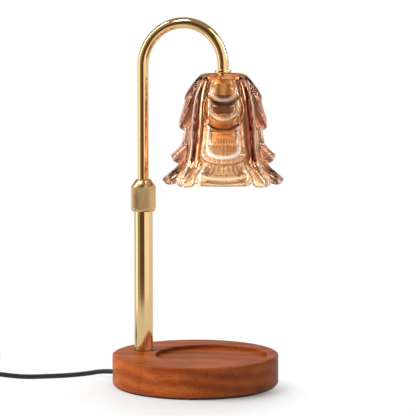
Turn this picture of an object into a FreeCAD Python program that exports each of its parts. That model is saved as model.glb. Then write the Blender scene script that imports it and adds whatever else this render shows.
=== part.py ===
import FreeCAD, Part
import math
import os

# Table lamp that warms a jar candle from above.
# Millimetres. Origin: centre of the underside of the foot pad. +Z is up, +X runs from the post to the shade.

# --- wooden base ---
pad_t = 1.6                 # foot pad thickness
pad_inset = 2.0             # the pad stands back from the edge of the wood by this
base_r = 75.0
base_h = 26.0               # thickness of the wood
base_round_top = 1.4
base_round_low = 0.8
recess_r = 50.5             # round seat for the jar
recess_x = 15.3
recess_depth = 3.3
recess_lip_round = 0.7
cavity_h = 14.2             # hollow under the wood, above the cover
ballast_r = 41.0
ballast_x = 12.0
ballast_h = 11.0
pocket_gap = 0.5            # room round the ballast
channel_w = 21.0            # channel for the post nut and the lead
channel_end = 61.5          # its outer end, from the centre of the base
ballast_screw_count = 3
ballast_screw_ring = 28.0
ballast_screw_r = 1.6
ballast_screw_bite = 4.5    # thread length in the wood
cover_r = 59.8
cover_t = 1.2
cover_gap = 0.2
cover_screw_ring = 54.0
cover_screw_count = 4
screw_r = 1.3
screw_head_r = 2.7
screw_len = 9.0

# --- post ---
post_x = -50.2
post_r = 8.5
post_wall = 1.0
post_h = 135.6              # length of the lower tube
seat_ring_r = 9.2
seat_ring_t = 0.8
thread_r = 5.0              # M10 lamp thread: nipple, nuts, end of the arm
nipple_bore = 3.3
nipple_low = 5.0            # how far the nipple hangs below the top of the hollow
plug_h = 10.0               # threaded plug in the foot of the post
washer_r = 9.6
washer_t = 1.2
nut_flats = 14.0
nut_t = 3.2
hole_gap = 0.2              # room round a thread in a drilled hole
run_gap = 0.05              # running clearance, radial
seat_gap = 0.3              # rest clearance between pieces of different bodies

# --- clamp collar ---
collar_r = 11.2
collar_h = 29.4
collar_overlap = 8.9        # how far the collar reaches down over the post
collar_chamfer = 2.4
collar_cone_h = 6.5
collar_cone_r = 6.5
collar_mouth_gap = 0.15
collet_plug_h = 8.0
collet_flange_r = 8.4
collet_flange_t = 1.5
collet_h = 7.5
collet_low_r = 7.4
collet_top_r = 6.4
collet_slots = 3
collet_slot_w = 1.2
collar_land = 4.0           # straight bore of the collar above the post's end
collar_inner_cone = 10.0

# --- arm ---
arm_r = 5.0
arm_wall = 1.0
arm_foot_z = 118.0          # lower end of the arm inside the post
bend_z = 286.5              # height of the bend's centre
bend_r = 38.25
arm_end_h = 21.4            # straight end below the bend
bush_h = 10.0
bush_up = 2.0               # from the arm's foot to the bush
clip_r = 6.4
clip_t = 1.2
clip_gap = 0.2
travel_down = 60.0
lead_turn_r = 6.2           # the cord's bend under the post
slack_r = 6.9               # spiral of slack cord in the post
slack_hole_r = 2.1          # the cord's ends just reach into its turns
slack_room = 3.0            # the cord stands out below the arm by this

# --- shade fittings ---
flange_r = 7.6
flange_t = 2.2
flange_low = 6.25           # underside of the flange below the bend's centre
gasket_t = 0.7
gasket_r = 7.0
low_gasket_t = 0.5
low_gasket_r = 9.0
cup_neck_r = 9.5
cup_neck_h = 3.6
cup_r = 11.6
cup_h = 17.6
cup_mouth_r = 11.2
cup_bulge_down = 6.3        # its widest point below the neck
cup_shoulder_down = 2.6     # a point on its shoulder, below the neck
cup_shoulder_in = 0.35      # and in from its widest point
cup_wall = 0.8
cup_top_t = 1.2
holder_r = 10.3
holder_h = 25.3
holder_boss_r = 7.4
holder_boss_h = 4.0
holder_top = 8.4            # top of the lampholder below the cup's top
chamber_r = 7.2
chamber_h = 12.0
contact_floor_h = 10.3      # lampholder body below the terminal chamber
contact_r = 1.5
contact_stand = 1.0

# --- bulb ---
pin_ring = 5.0
pin_r = 1.3
pin_head_r = 2.4
pin_head_t = 2.5
lock_lip_t = 1.5            # lip that the pin heads hang on
slot_gap = 0.35
free_gap = 0.5              # room round a pin head in the free end of its slot
bulb_twist = 18.0           # degrees from locked to free
bulb_neck_r = 8.3
bulb_neck_h = 18.4
bulb_r = 25.0
bulb_bowl_h = 25.0
bulb_swell_out = 0.62       # the bowl's fullest point, as shares of its width
bulb_swell_down = 0.38      # and of its height
bulb_wall = 1.2
bulb_lens_t = 2.0
capsule_r = 4.2
capsule_h = 17.0
capsule_foot = 3.0          # height of its flat pinched foot
capsule_pinch = 2.8

# --- glass shade ---
glass_top_t = 2.4
crown_h = 3.0               # height of the rounding between the ceiling and the inner wall
glass_hole_gap = 0.5
glass_h = 98.5
glass_wall = 3.0
glass_rim_wall = 2.6
shade_turn = 19.0           # the petals stand turned from the arm by this, degrees
petal_columns = 4
poles_per_column = 24
row_step = 2.2              # height between rows of control points
# (depth below the top, radius)
valley_line = [
    (0, 19), (4, 22.6), (14, 27.2), (26, 30.4), (52, 33.6), (68, 35.6), (80, 38.6), (90, 44.4), (98.5, 48.5),
]
rib_line = [(0, 19.4), (8, 26.6), (25, 35.4), (47, 38.6), (68, 40.2), (82, 45.2), (94, 53.2), (98.5, 51.6)]
rib_sharp = 5.6             # half width of a rib, degrees
petal_lines = [
    [(0, 19.2), (6, 24.8), (13, 30.2), (18, 33.2), (22, 34.4), (28, 34.7)],
    [(7, 24.0), (20, 32.6), (34, 36.8), (41, 38.8), (46, 39.8), (52, 40.0)],
    [(34, 33.0), (50, 34.9), (58.5, 36.3), (63, 37.7), (68, 42.0), (72, 45.6), (76, 46.3), (82, 44.6)],
]
petal_half = [25.0, 33.0, 30.0]       # half width of each tier's petals, degrees
petal_bend = [10.0, 28.0, 60.0]       # depth where a petal's sides start to round in
petal_foot = [27.5, 50.2, 80.0]       # depth of its tip
petal_square = [2.2, 2.2, 3.4]        # how square its tip is
petal_roll = [2.4, 4.2, 6.0]          # how far the lip rolls back
petal_lip = 6.0                       # height of the rolled lip
lip_fall = 2.0                        # slope of the step behind the lip
lobe_line = [(78, 38.4), (85, 44.0), (90, 49.6), (93.5, 54.2), (96, 54.8), (98.5, 52.6)]
lobe_half = 28.0
lobe_roll = 5.0
lobe_sag = 5.0              # a lobe's flare starts this much higher at its sides
lobe_lift = 1.5             # the rim of a lobe stands above the foot of a rib
lobe_scallop = 2.2          # how far the rim rises at the notch between them
notch_side = 31.0           # where it rises, degrees from the middle of a petal
notch_half = 4.0
relief_start = 6.0          # the relief fades in over this depth

# --- mains cord and what is on it ---
cord_r = 2.2
cord_z = 5.6                # height of the hole in the side of the base
arc_share = 0.45            # share of a run that the arc at its end takes
sleeve_r = 2.95
sleeve_nose = 4.0
sleeve_flange_r = 3.9
sleeve_flange_t = 1.2
dimmer_x = -238.0
dimmer_y = -47.0
dimmer_l = 57.0
dimmer_w = 24.0
dimmer_low_h = 6.5
dimmer_lid_h = 9.5
dimmer_round = 9.0
dimmer_edge = 1.2
dimmer_wall = 1.6
wheel_r = 9.0
wheel_t = 4.0
wheel_out = 2.5             # the wheel stands out of the side by this
wheel_z = 9.4
wheel_gap = 0.4
grip_count = 24             # grooves round the wheel
grip_r = 0.5
axle_r = 1.5
board_l = 32.0
board_w = 12.0
board_t = 1.4
board_shift = 1.5           # the board and its parts stand in from the wheel's centre
peg_h = 1.0                 # pegs that the board stands on
peg_r = 1.6
peg_dx = 11.2               # from the wheel's centre
peg_root = 0.2              # how far a peg grows out of the floor
pot_w = 9.0
triac_dx = 8.0              # from the wheel's centre
triac_l = 4.5
triac_w = 8.0
triac_h = 3.0
dimmer_screw_dx = 13.5
dimmer_screw_dy = 8.0
dimmer_boss_r = 2.6
dimmer_screw_r = 1.1
dimmer_head_r = 1.9
dimmer_head_t = 1.4
dimmer_head_sunk = 0.2
dimmer_screw_bite = 5.0     # thread length in the lid
boot_l = 12.0
boot_r = 3.8
boot_tip_r = 2.9
cord_in = 3.0               # the cord reaches this far into the dimmer
coil_x = -320.0
coil_r_max = 34.6           # centreline of the outer turn
coil_turns = 7.5
coil_pitch = 4.45
coil_layers = 2
coil_round = 2.0            # rounding of the coil's outline
plug_x = -256.5             # back of the plug's body
plug_y = 29.0
plug_l = 24.0
plug_w = 24.0
plug_t = 14.0
plug_round = 3.0
blade_gap = 12.7
blade_w = 6.3
blade_t = 1.5
blade_out = 16.0
blade_in = 8.0

# --- derived heights ---
wood_low = pad_t
wood_top = wood_low + base_h
hollow_low = wood_low + cover_t
hollow_top = hollow_low + cavity_h
recess_floor = wood_top - recess_depth
post_low = wood_top + seat_ring_t
post_top = post_low + post_h
slack_low = post_low + plug_h
collar_low = post_top - collar_overlap
collar_top = collar_low + collar_h
shade_x = post_x + 2 * bend_r
arm_end = bend_z - arm_end_h
flange_z = bend_z - flange_low
glass_top = flange_z - gasket_t
ceiling = glass_top - glass_top_t
cup_top = ceiling - low_gasket_t
holder_crown = cup_top - holder_top
holder_low = holder_crown - holder_h
head_low = holder_low + lock_lip_t + seat_gap
head_top = head_low + pin_head_t
bulb_neck_top = holder_low - seat_gap
bulb_neck_low = bulb_neck_top - bulb_neck_h
bulb_front = bulb_neck_low - bulb_bowl_h
dimmer_seam = dimmer_low_h
coil_y = dimmer_y + coil_r_max
coil_r_min = coil_r_max - coil_pitch * coil_turns / coil_layers
sleeve_tip_x = -base_r - sleeve_nose
dimmer_in_x = dimmer_x + dimmer_l / 2
dimmer_out_x = dimmer_x - dimmer_l / 2


def at(x, y, z):
    return FreeCAD.Vector(x, y, z)


UP = at(0, 0, 1)


def rod(x, y, z0, z1, r):
    return Part.makeCylinder(r, z1 - z0, at(x, y, z0), UP)


def pipe(x, y, z0, z1, r_out, r_in):
    return rod(x, y, z0, z1, r_out).cut(rod(x, y, z0 - 1, z1 + 1, r_in))


def cone(x, y, z0, z1, r0, r1):
    return Part.makeCone(r0, r1, z1 - z0, at(x, y, z0), UP)


def rod_x(x0, x1, y, z, r):
    return Part.makeCylinder(r, x1 - x0, at(x0, y, z), at(1, 0, 0))


def block(x0, x1, y0, y1, z0, z1):
    return Part.makeBox(x1 - x0, y1 - y0, z1 - z0, at(x0, y0, z0))


def hex_nut(x, z0, z1, flats, hole_r):
    corner_r = flats / math.sqrt(3)
    corners = [at(x + cx, cy, z0) for cx, cy in ring_places(6, corner_r)]
    body = Part.Face(Part.makePolygon(corners + corners[:1])).extrude(at(0, 0, z1 - z0))
    return body.cut(rod(x, 0, z0 - 1, z1 + 1, hole_r))


def round_edges(shape, radius, z, r=None):
    """Fillets the circular edges at height z, or only those of radius r."""
    found = []
    for edge in shape.Edges:
        curve = edge.Curve
        if not isinstance(curve, Part.Circle) or abs(curve.Center.z - z) > 1e-4:
            continue
        if r is None or abs(curve.Radius - r) < 1e-4:
            found.append(edge)
    return shape.makeFillet(radius, found)


def turned(x, outline):
    """A solid of revolution about the upright axis at x, from points (radius, height)."""
    points = [at(x + r, 0, z) for r, z in outline]
    face = Part.Face(Part.makePolygon(points + points[:1]))
    return face.revolve(at(x, 0, 0), UP, 360)


def ring_places(count, ring, x=0.0, start=0.0):
    for i in range(count):
        turn = math.radians(start + 360 * i / count)
        yield x + ring * math.cos(turn), ring * math.sin(turn)


# --- wooden base ---

def countersunk_screw(x, y, z, length):
    """A wood screw with its flat head at height z, pointing up."""
    head_h = screw_head_r - screw_r
    head = cone(x, y, z, z + head_h, screw_head_r, screw_r)
    point_h = 2 * screw_r
    shank = rod(x, y, z, z + length - point_h, screw_r)
    point = cone(x, y, z + length - point_h, z + length, screw_r, screw_r / 4)
    return head.fuse(shank).fuse(point).removeSplitter()


def cover_screw_places():
    return ring_places(cover_screw_count, cover_screw_ring, 0, 180 / cover_screw_count)


def ballast_screw_places():
    return ring_places(ballast_screw_count, ballast_screw_ring, ballast_x, 60)


def ballast_screw(x, y):
    head_z = hollow_top - ballast_h
    head = rod(x, y, head_z - 2 * ballast_screw_r, head_z, 2 * ballast_screw_r)
    shank = rod(x, y, head_z, hollow_top + ballast_screw_bite, ballast_screw_r)
    return head.fuse(shank).removeSplitter()


def wood_base():
    wood = rod(0, 0, wood_low, wood_top, base_r)
    wood = round_edges(wood, base_round_top, wood_top)
    wood = round_edges(wood, base_round_low, wood_low)
    wood = wood.cut(rod(recess_x, 0, recess_floor, wood_top + 1, recess_r))
    wood = round_edges(wood, recess_lip_round, wood_top, recess_r)
    wood = wood.cut(rod(0, 0, wood_low - 1, hollow_low, cover_r + cover_gap))
    wood = wood.cut(rod(ballast_x, 0, hollow_low - 0.5, hollow_top, ballast_r + pocket_gap))
    wood = wood.cut(block(-channel_end, ballast_x, -channel_w / 2, channel_w / 2, hollow_low, hollow_top))
    wood = wood.cut(rod(post_x, 0, hollow_low, wood_top + 1, thread_r + hole_gap))
    wood = wood.cut(rod_x(-base_r - 1, -channel_end + 1, 0, cord_z, sleeve_r + run_gap))
    for x, y in cover_screw_places():
        wood = wood.cut(countersunk_screw(x, y, wood_low, screw_len))
    for x, y in ballast_screw_places():
        wood = wood.cut(ballast_screw(x, y))
    return wood


def ballast_weight():
    weight = rod(ballast_x, 0, hollow_top - ballast_h, hollow_top, ballast_r)
    weight = weight.cut(block(-channel_end, post_x + washer_r + 2, -base_r, base_r, 0, wood_top))
    for x, y in ballast_screw_places():
        weight = weight.cut(ballast_screw(x, y))
    return weight


def ballast_screws():
    return Part.makeCompound([ballast_screw(x, y) for x, y in ballast_screw_places()])


def bottom_cover():
    cover = rod(0, 0, wood_low, hollow_low, cover_r)
    for x, y in cover_screw_places():
        cover = cover.cut(countersunk_screw(x, y, wood_low, screw_len))
    return cover


def cover_screws():
    return Part.makeCompound([countersunk_screw(x, y, wood_low, screw_len) for x, y in cover_screw_places()])


def foot_pad():
    return rod(0, 0, 0, pad_t, base_r - pad_inset)


# --- post ---

def post_nipple():
    return pipe(post_x, 0, hollow_top - nipple_low, post_low + plug_h, thread_r, nipple_bore)


def nipple_washer():
    return pipe(post_x, 0, hollow_top - washer_t, hollow_top, washer_r, thread_r)


def nipple_nut():
    top = hollow_top - washer_t
    return hex_nut(post_x, top - nut_t, top, nut_flats, thread_r)


def post_seat_ring():
    return pipe(post_x, 0, wood_top, post_low, seat_ring_r, thread_r)


def post_foot_plug():
    return pipe(post_x, 0, post_low, post_low + plug_h, post_r - post_wall, thread_r)


def post_tube():
    return pipe(post_x, 0, post_low, post_top, post_r, post_r - post_wall)


# --- clamp collar ---

def collar_cavity():
    mouth_r = arm_r + collar_mouth_gap
    land_top = post_top + collar_land
    cavity = rod(post_x, 0, collar_low - 1, land_top, post_r + run_gap)
    cavity = cavity.fuse(cone(post_x, 0, land_top, land_top + collar_inner_cone, post_r + run_gap, mouth_r))
    return cavity.fuse(rod(post_x, 0, land_top, collar_top + 1, mouth_r))


def lock_collar():
    shoulder = collar_top - collar_cone_h
    outline = [
        (0, collar_low), (collar_r - collar_chamfer / 2, collar_low), (collar_r, collar_low + collar_chamfer),
        (collar_r, shoulder), (collar_cone_r, collar_top), (0, collar_top),
    ]
    return turned(post_x, outline).cut(collar_cavity())


def collet_sleeve():
    flange_top = post_top + collet_flange_t
    body = rod(post_x, 0, post_top - collet_plug_h, post_top, post_r - post_wall)
    body = body.fuse(rod(post_x, 0, post_top, flange_top, collet_flange_r))
    body = body.fuse(cone(post_x, 0, flange_top, flange_top + collet_h, collet_low_r, collet_top_r))
    body = body.cut(rod(post_x, 0, post_top - collet_plug_h - 1, flange_top + collet_h + 1, arm_r + run_gap))
    for i in range(collet_slots):
        slot = block(0, collet_low_r + 1, -collet_slot_w / 2, collet_slot_w / 2,
                     flange_top + 1, flange_top + collet_h + 1)
        slot.translate(at(post_x, 0, 0))
        slot.rotate(at(post_x, 0, 0), UP, 60 + 360 * i / collet_slots)
        body = body.cut(slot)
    return body.removeSplitter()


# --- arm ---

def cane(radius, foot_z, end_z):
    """A walking-cane shape: up from foot_z, over the bend and down to end_z."""
    rise = rod(post_x, 0, foot_z, bend_z, radius)
    section = Part.Face(Part.Wire([Part.makeCircle(radius, at(post_x, 0, bend_z), UP)]))
    bend = section.revolve(at(post_x + bend_r, 0, bend_z), at(0, 1, 0), 180)
    drop = rod(shade_x, 0, end_z, bend_z, radius)
    return rise.fuse(bend).fuse(drop).removeSplitter()


def arch_tube():
    return cane(arm_r, arm_foot_z, arm_end).cut(cane(arm_r - arm_wall, arm_foot_z - 1, arm_end - 1))


def guide_bush():
    low = arm_foot_z + bush_up
    return pipe(post_x, 0, low, low + bush_h, post_r - post_wall - run_gap, arm_r + run_gap)


def bush_clips():
    low = arm_foot_z + bush_up - clip_gap - clip_t
    high = arm_foot_z + bush_up + bush_h + clip_gap
    return Part.makeCompound([pipe(post_x, 0, z, z + clip_t, clip_r, arm_r) for z in (low, high)])


# --- leads inside the lamp ---

def base_lead():
    """The cord's own end: in through the sleeve, up through the nipple and into the spiral of slack."""
    turn_x = post_x - lead_turn_r
    level = rod_x(sleeve_tip_x, turn_x, 0, cord_z, cord_r)
    section = Part.Face(Part.Wire([Part.makeCircle(cord_r, at(turn_x, 0, cord_z), at(1, 0, 0))]))
    turn = section.revolve(at(turn_x, 0, cord_z + lead_turn_r), at(0, -1, 0), 90)
    rise = rod(post_x, 0, cord_z + lead_turn_r, slack_low, cord_r)
    return level.fuse(turn).fuse(rise).removeSplitter()


def slack_lead():
    return pipe(post_x, 0, slack_low, arm_foot_z - slack_room, slack_r, slack_hole_r)


def arm_lead():
    """The cord from the spiral of slack through the arm to the lampholder's terminals."""
    return cane(cord_r, arm_foot_z - slack_room, holder_low + contact_floor_h)


# --- shade fittings ---

def shade_flange():
    flange = pipe(shade_x, 0, flange_z, flange_z + flange_t, flange_r, arm_r)
    return round_edges(flange, flange_t / 3, flange_z + flange_t, flange_r)


def upper_gasket():
    return pipe(shade_x, 0, glass_top, flange_z, gasket_r, arm_r)


def lower_gasket():
    return pipe(shade_x, 0, cup_top, ceiling, low_gasket_r, arm_r)


def cup_outline(inset, top):
    """Outline of the cup's side, moved in by inset, down from height top."""
    neck_low = cup_top - cup_neck_h
    bulge_z = neck_low - cup_bulge_down
    mouth_z = cup_top - cup_h
    neck = at(shade_x + cup_neck_r - inset, 0, neck_low)
    bulge = at(shade_x + cup_r - inset, 0, bulge_z)
    mouth = at(shade_x + cup_mouth_r - inset, 0, mouth_z)
    shoulder = at(shade_x + cup_r - inset - cup_shoulder_in, 0, neck_low - cup_shoulder_down)
    side = [
        Part.makeLine(at(shade_x, 0, top), at(neck.x, 0, top)),
        Part.makeLine(at(neck.x, 0, top), neck),
        Part.Arc(neck, shoulder, bulge).toShape(),
        Part.makeLine(bulge, mouth),
        Part.makeLine(mouth, at(shade_x, 0, mouth_z)),
        Part.makeLine(at(shade_x, 0, mouth_z), at(shade_x, 0, top)),
    ]
    return Part.Face(Part.Wire(side))


def socket_cup():
    body = cup_outline(0, cup_top).revolve(at(shade_x, 0, 0), UP, 360)
    hollow = cup_outline(cup_wall, cup_top - cup_top_t).revolve(at(shade_x, 0, 0), UP, 360)
    return body.cut(hollow).cut(rod(shade_x, 0, cup_top - cup_h, cup_top + 1, arm_r))


def cup_nut():
    top = cup_top - cup_top_t
    return hex_nut(shade_x, top - nut_t, top, nut_flats, arm_r)


def on_ring(ring, angle, z):
    turn = math.radians(angle)
    return at(ring * math.cos(turn), ring * math.sin(turn), z)


def arc_slot(half, z0, z1):
    """A slot with round ends along the pin ring, from the locked place to the free one."""
    near, far = pin_ring - half, pin_ring + half
    tip = math.degrees(2 * math.asin(half / pin_ring / 2))
    low_tip, high_tip = on_ring(pin_ring, -tip, z0), on_ring(pin_ring, bulb_twist + tip, z0)
    middle = bulb_twist / 2
    outline = Part.Wire([
        Part.Arc(on_ring(far, 0, z0), on_ring(far, middle, z0), on_ring(far, bulb_twist, z0)).toShape(),
        Part.Arc(on_ring(far, bulb_twist, z0), high_tip, on_ring(near, bulb_twist, z0)).toShape(),
        Part.Arc(on_ring(near, bulb_twist, z0), on_ring(near, middle, z0), on_ring(near, 0, z0)).toShape(),
        Part.Arc(on_ring(near, 0, z0), low_tip, on_ring(far, 0, z0)).toShape(),
    ])
    return Part.Face(outline).extrude(at(0, 0, z1 - z0))


def both_pins(shape):
    """The shape and its half-turn copy, moved from the origin to the shade's axis."""
    other = shape.copy()
    other.rotate(at(0, 0, 0), UP, 180)
    pair = [shape, other]
    for piece in pair:
        piece.translate(at(shade_x, 0, 0))
    return pair


def lampholder():
    lip_top = holder_low + lock_lip_t
    slot_top = head_top + seat_gap
    chamber_low = holder_low + contact_floor_h
    body = rod(shade_x, 0, holder_low, holder_crown - holder_boss_h, holder_r)
    body = body.fuse(rod(shade_x, 0, holder_crown - holder_boss_h, holder_crown, holder_boss_r))
    body = body.cut(rod(shade_x, 0, chamber_low, chamber_low + chamber_h, chamber_r))
    body = body.cut(rod(shade_x, 0, chamber_low + chamber_h - 1, holder_crown + 1, arm_r))
    cutters = [
        arc_slot(pin_r + slot_gap, holder_low - 1, slot_top - 1),
        arc_slot(pin_head_r + slot_gap, lip_top, slot_top),
        free_hole(holder_low - 1, slot_top),
        rod(pin_ring, 0, slot_top - 0.5, chamber_low + 1, contact_r),
    ]
    for cutter in cutters:
        for piece in both_pins(cutter):
            body = body.cut(piece)
    return body.removeSplitter()


def free_hole(z0, z1):
    """The round end of the slot, where a pin head goes in."""
    centre = on_ring(pin_ring, bulb_twist, z0)
    return rod(centre.x, centre.y, z0, z1, pin_head_r + free_gap)


def holder_contacts():
    contact_top = holder_low + contact_floor_h + contact_stand
    return Part.makeCompound(both_pins(rod(pin_ring, 0, head_top + seat_gap, contact_top, contact_r)))


# --- bulb ---

def bulb_pins():
    pin = rod(pin_ring, 0, bulb_neck_top, head_top, pin_r)
    pin = pin.fuse(rod(pin_ring, 0, head_low, head_top, pin_head_r))
    return Part.makeCompound(both_pins(pin.removeSplitter()))


def bulb_base():
    return rod(shade_x, 0, bulb_neck_low, bulb_neck_top, bulb_neck_r)


def bowl_outline(inset):
    """Side of the reflector: from its neck, out in a curve to its rim, moved in by inset."""
    neck = at(shade_x + bulb_neck_r - inset, 0, bulb_neck_low - inset)
    rim = at(shade_x + bulb_r - inset, 0, bulb_front)
    swell_r = bulb_neck_r + (bulb_r - bulb_neck_r) * bulb_swell_out
    swell = at(shade_x + swell_r - inset, 0, bulb_neck_low - bulb_bowl_h * bulb_swell_down)
    side = [
        Part.makeLine(at(shade_x, 0, neck.z), neck),
        Part.Arc(neck, swell, rim).toShape(),
        Part.makeLine(rim, at(shade_x, 0, rim.z)),
        Part.makeLine(at(shade_x, 0, rim.z), at(shade_x, 0, neck.z)),
    ]
    return Part.Face(Part.Wire(side))


def bulb_reflector():
    body = bowl_outline(0).revolve(at(shade_x, 0, 0), UP, 360)
    return body.cut(bowl_outline(bulb_wall).revolve(at(shade_x, 0, 0), UP, 360))


def bulb_lens():
    lens = rod(shade_x, 0, bulb_front - bulb_lens_t, bulb_front, bulb_r - bulb_wall / 2)
    return round_edges(lens, bulb_lens_t / 3, bulb_front - bulb_lens_t)


def bulb_capsule():
    top = bulb_neck_low - bulb_wall
    low = top - capsule_foot - capsule_h
    foot = block(shade_x - capsule_r, shade_x + capsule_r, -capsule_pinch / 2, capsule_pinch / 2,
                 top - capsule_foot - 1, top)
    body = rod(shade_x, 0, low + capsule_r, top - capsule_foot, capsule_r)
    tip = Part.makeSphere(capsule_r, at(shade_x, 0, low + capsule_r))
    return body.fuse(tip).fuse(foot).removeSplitter()


# --- glass shade ---

def follow(line, depth):
    """Radius at a depth on a line of (depth, radius) points, smooth through the points."""
    if depth <= line[0][0]:
        return line[0][1]
    for i in range(len(line) - 1):
        (d0, r0), (d1, r1) = line[i], line[i + 1]
        if depth <= d1:
            before, after = line[max(i - 1, 0)], line[min(i + 2, len(line) - 1)]
            slope0 = (r1 - before[1]) / (d1 - before[0])
            slope1 = (after[1] - r0) / (after[0] - d0)
            t, span = (depth - d0) / (d1 - d0), d1 - d0
            return ((2 * t ** 3 - 3 * t ** 2 + 1) * r0 + (t ** 3 - 2 * t ** 2 + t) * span * slope0
                    + (3 * t ** 2 - 2 * t ** 3) * r1 + (t ** 3 - t ** 2) * span * slope1)
    return line[-1][1]


def ease(t):
    t = min(max(t, 0.0), 1.0)
    return t * t * (3 - 2 * t)


def rolled(line, depth, inside, roll):
    """Radius of a petal whose lip rolls back near its outline; inside is the distance in from the outline."""
    back = min(max((petal_lip - inside) / petal_lip, 0.0), 1.0)
    return follow(line, depth) - roll * (1 - math.sqrt(1 - back * back)) - lip_fall * max(-inside, 0.0)


def petal_radius(tier, side, depth):
    if depth < petal_lines[tier][0][0]:
        return 0.0
    down = max((depth - petal_bend[tier]) / (petal_foot[tier] - petal_bend[tier]), 0.0)
    square = petal_square[tier]
    reach = ((side / petal_half[tier]) ** square + down ** square) ** (1 / square)
    size = math.radians(petal_half[tier]) * follow(valley_line, depth)
    return rolled(petal_lines[tier], depth, (1 - reach) * size, petal_roll[tier])


def lobe_radius(side, depth):
    size = math.radians(lobe_half) * follow(valley_line, depth)
    flare = depth + lobe_sag * (side / lobe_half) ** 2
    return rolled(lobe_line, flare, (1 - side / lobe_half) * size, lobe_roll)


def outside_radius(side, depth):
    """Radius of the shade's outside, side is the angle from the middle of the nearest petal, in degrees."""
    valley = follow(valley_line, depth)
    from_rib = 180 / petal_columns - side
    rib = valley + (follow(rib_line, depth) - valley) * math.exp(-(from_rib / rib_sharp) ** 2)
    shapes = [rib] + [petal_radius(tier, side, depth) for tier in range(len(petal_lines))]
    if depth > lobe_line[0][0]:
        shapes.append(lobe_radius(side, depth))
    return valley + (max(shapes) - valley) * ease(depth / relief_start)


def rim_rise(side, depth):
    """How far the rim lifts along a lobe and at the notch beside it."""
    notch = lobe_scallop * math.exp(-((side - notch_side) / notch_half) ** 2)
    lobe = lobe_lift * ease((notch_side + notch_half - side) / notch_half)
    return (notch + lobe) * ease((depth - petal_foot[2]) / (glass_h - petal_foot[2]))


def inside_radius(side, depth):
    plain = follow(valley_line, depth) - glass_wall
    lobed = outside_radius(side, depth) - glass_rim_wall
    return plain + (lobed - plain) * ease((depth - petal_foot[2]) / (glass_h - petal_foot[2]))


def glass_rings():
    """Rings of control points: down the outside, round the rim and up the inside."""
    rows = int(round(glass_h / row_step))
    depths = [glass_h * i / rows for i in range(rows + 1)]
    outer = [lambda side, d=d: (outside_radius(side, d), d) for d in depths]
    turn = [lambda side: (outside_radius(side, glass_h) - glass_rim_wall / 2, glass_h + glass_rim_wall / 3)]
    rising = [d for d in reversed(depths[::2]) if d > glass_top_t + crown_h]
    inner = [lambda side, d=d: (inside_radius(side, d), d) for d in rising]
    crown_r = follow(valley_line, glass_top_t) - glass_wall
    crown = [lambda side: (crown_r, glass_top_t + crown_h / 3),
             lambda side: (crown_r - crown_h / 2, glass_top_t)]
    return outer + turn + inner + crown


def glass_shade():
    rings = glass_rings()
    columns = petal_columns * poles_per_column
    pitch = 360.0 / columns
    poles = []
    for column in range(columns):
        angle = column * pitch
        side = abs((angle + 180.0 / petal_columns) % (360.0 / petal_columns) - 180.0 / petal_columns)
        turn = math.radians(angle + shade_turn)
        line = []
        for ring in rings:
            radius, depth = ring(side)
            height = glass_top - depth + rim_rise(side, depth)
            line.append(at(shade_x + radius * math.cos(turn), radius * math.sin(turn), height))
        poles.append(line)
    rows = len(rings)
    skin = Part.BSplineSurface()
    skin.buildFromPolesMultsKnots(
        poles, [1] * (columns + 1), [4] + [1] * (rows - 4) + [4],
        list(range(columns + 1)), list(range(rows - 2)), True, False, 3, 3)
    side_face = skin.toShape()
    caps = [Part.Face(Part.Wire([edge])) for edge in side_face.Edges if is_level(edge)]
    shell = Part.makeCompound([side_face] + caps)
    shell.sewShape(0.001)
    glass = Part.Solid(Part.Shell(shell.Faces))
    if glass.Volume < 0:
        glass.reverse()
    return glass.cut(rod(shade_x, 0, ceiling - 5, glass_top + 5, arm_r + glass_hole_gap))


def is_level(edge):
    box = edge.BoundBox
    return box.ZLength < 0.01 and edge.isClosed()


# --- mains cord ---

CORD_TO_DIMMER = [
    (sleeve_tip_x, 0, cord_z), (-91, 0, cord_z), (-104, -4.5, 3.2), (-119, -14, cord_r), (-136, -25, cord_r),
    (-157.5, -36, cord_r), (-184.5, dimmer_y, dimmer_seam), (dimmer_in_x - cord_in, dimmer_y, dimmer_seam),
]
CORD_TO_COIL = [
    (dimmer_out_x + cord_in, dimmer_y, dimmer_seam), (-291.5, dimmer_y, dimmer_seam),
    (coil_x, dimmer_y, cord_r),
]
CORD_TAIL = [
    (coil_x, coil_y + coil_r_max, 3 * cord_r), (-300, 22.6, 6.2), (-278.5, plug_y, plug_t / 2),
    (plug_x, plug_y, plug_t / 2),
]


def cord_solid(name, places):
    """A tube along straight runs that are joined by tangent arcs."""
    points = [at(*place) for place in places]
    edges, start, radii = [], points[0], []
    for before, corner, after in zip(points, points[1:], points[2:]):
        into, out = corner - before, after - corner
        turn = into.getAngle(out)
        reach = arc_share * min(into.Length, out.Length)
        radii.append(reach / math.tan(turn / 2))
        into.normalize()
        out.normalize()
        first, last = corner - into * reach, corner + out * reach
        chord = out - into
        chord.normalize()
        middle = corner + chord * (radii[-1] / math.cos(turn / 2) - radii[-1])
        edges += [Part.LineSegment(start, first).toShape(), Part.Arc(first, middle, last).toShape()]
        start = last
    edges.append(Part.LineSegment(start, points[-1]).toShape())
    path = Part.Wire(edges)
    section = Part.Wire([Part.makeCircle(cord_r, points[0], points[1] - points[0])])
    tube = path.makePipeShell([section], True, False)
    print(name, "radii", [round(r, 1) for r in radii], "length", round(path.Length, 1),
          "volume ratio", round(tube.Volume / (math.pi * cord_r ** 2 * path.Length), 4))
    return tube


def cord_coil():
    height = 2 * cord_r * coil_layers
    coil = pipe(coil_x, coil_y, 0, height, coil_r_max + cord_r, coil_r_min - cord_r)
    for z in (0, height):
        coil = round_edges(coil, coil_round, z)
    return coil


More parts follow.
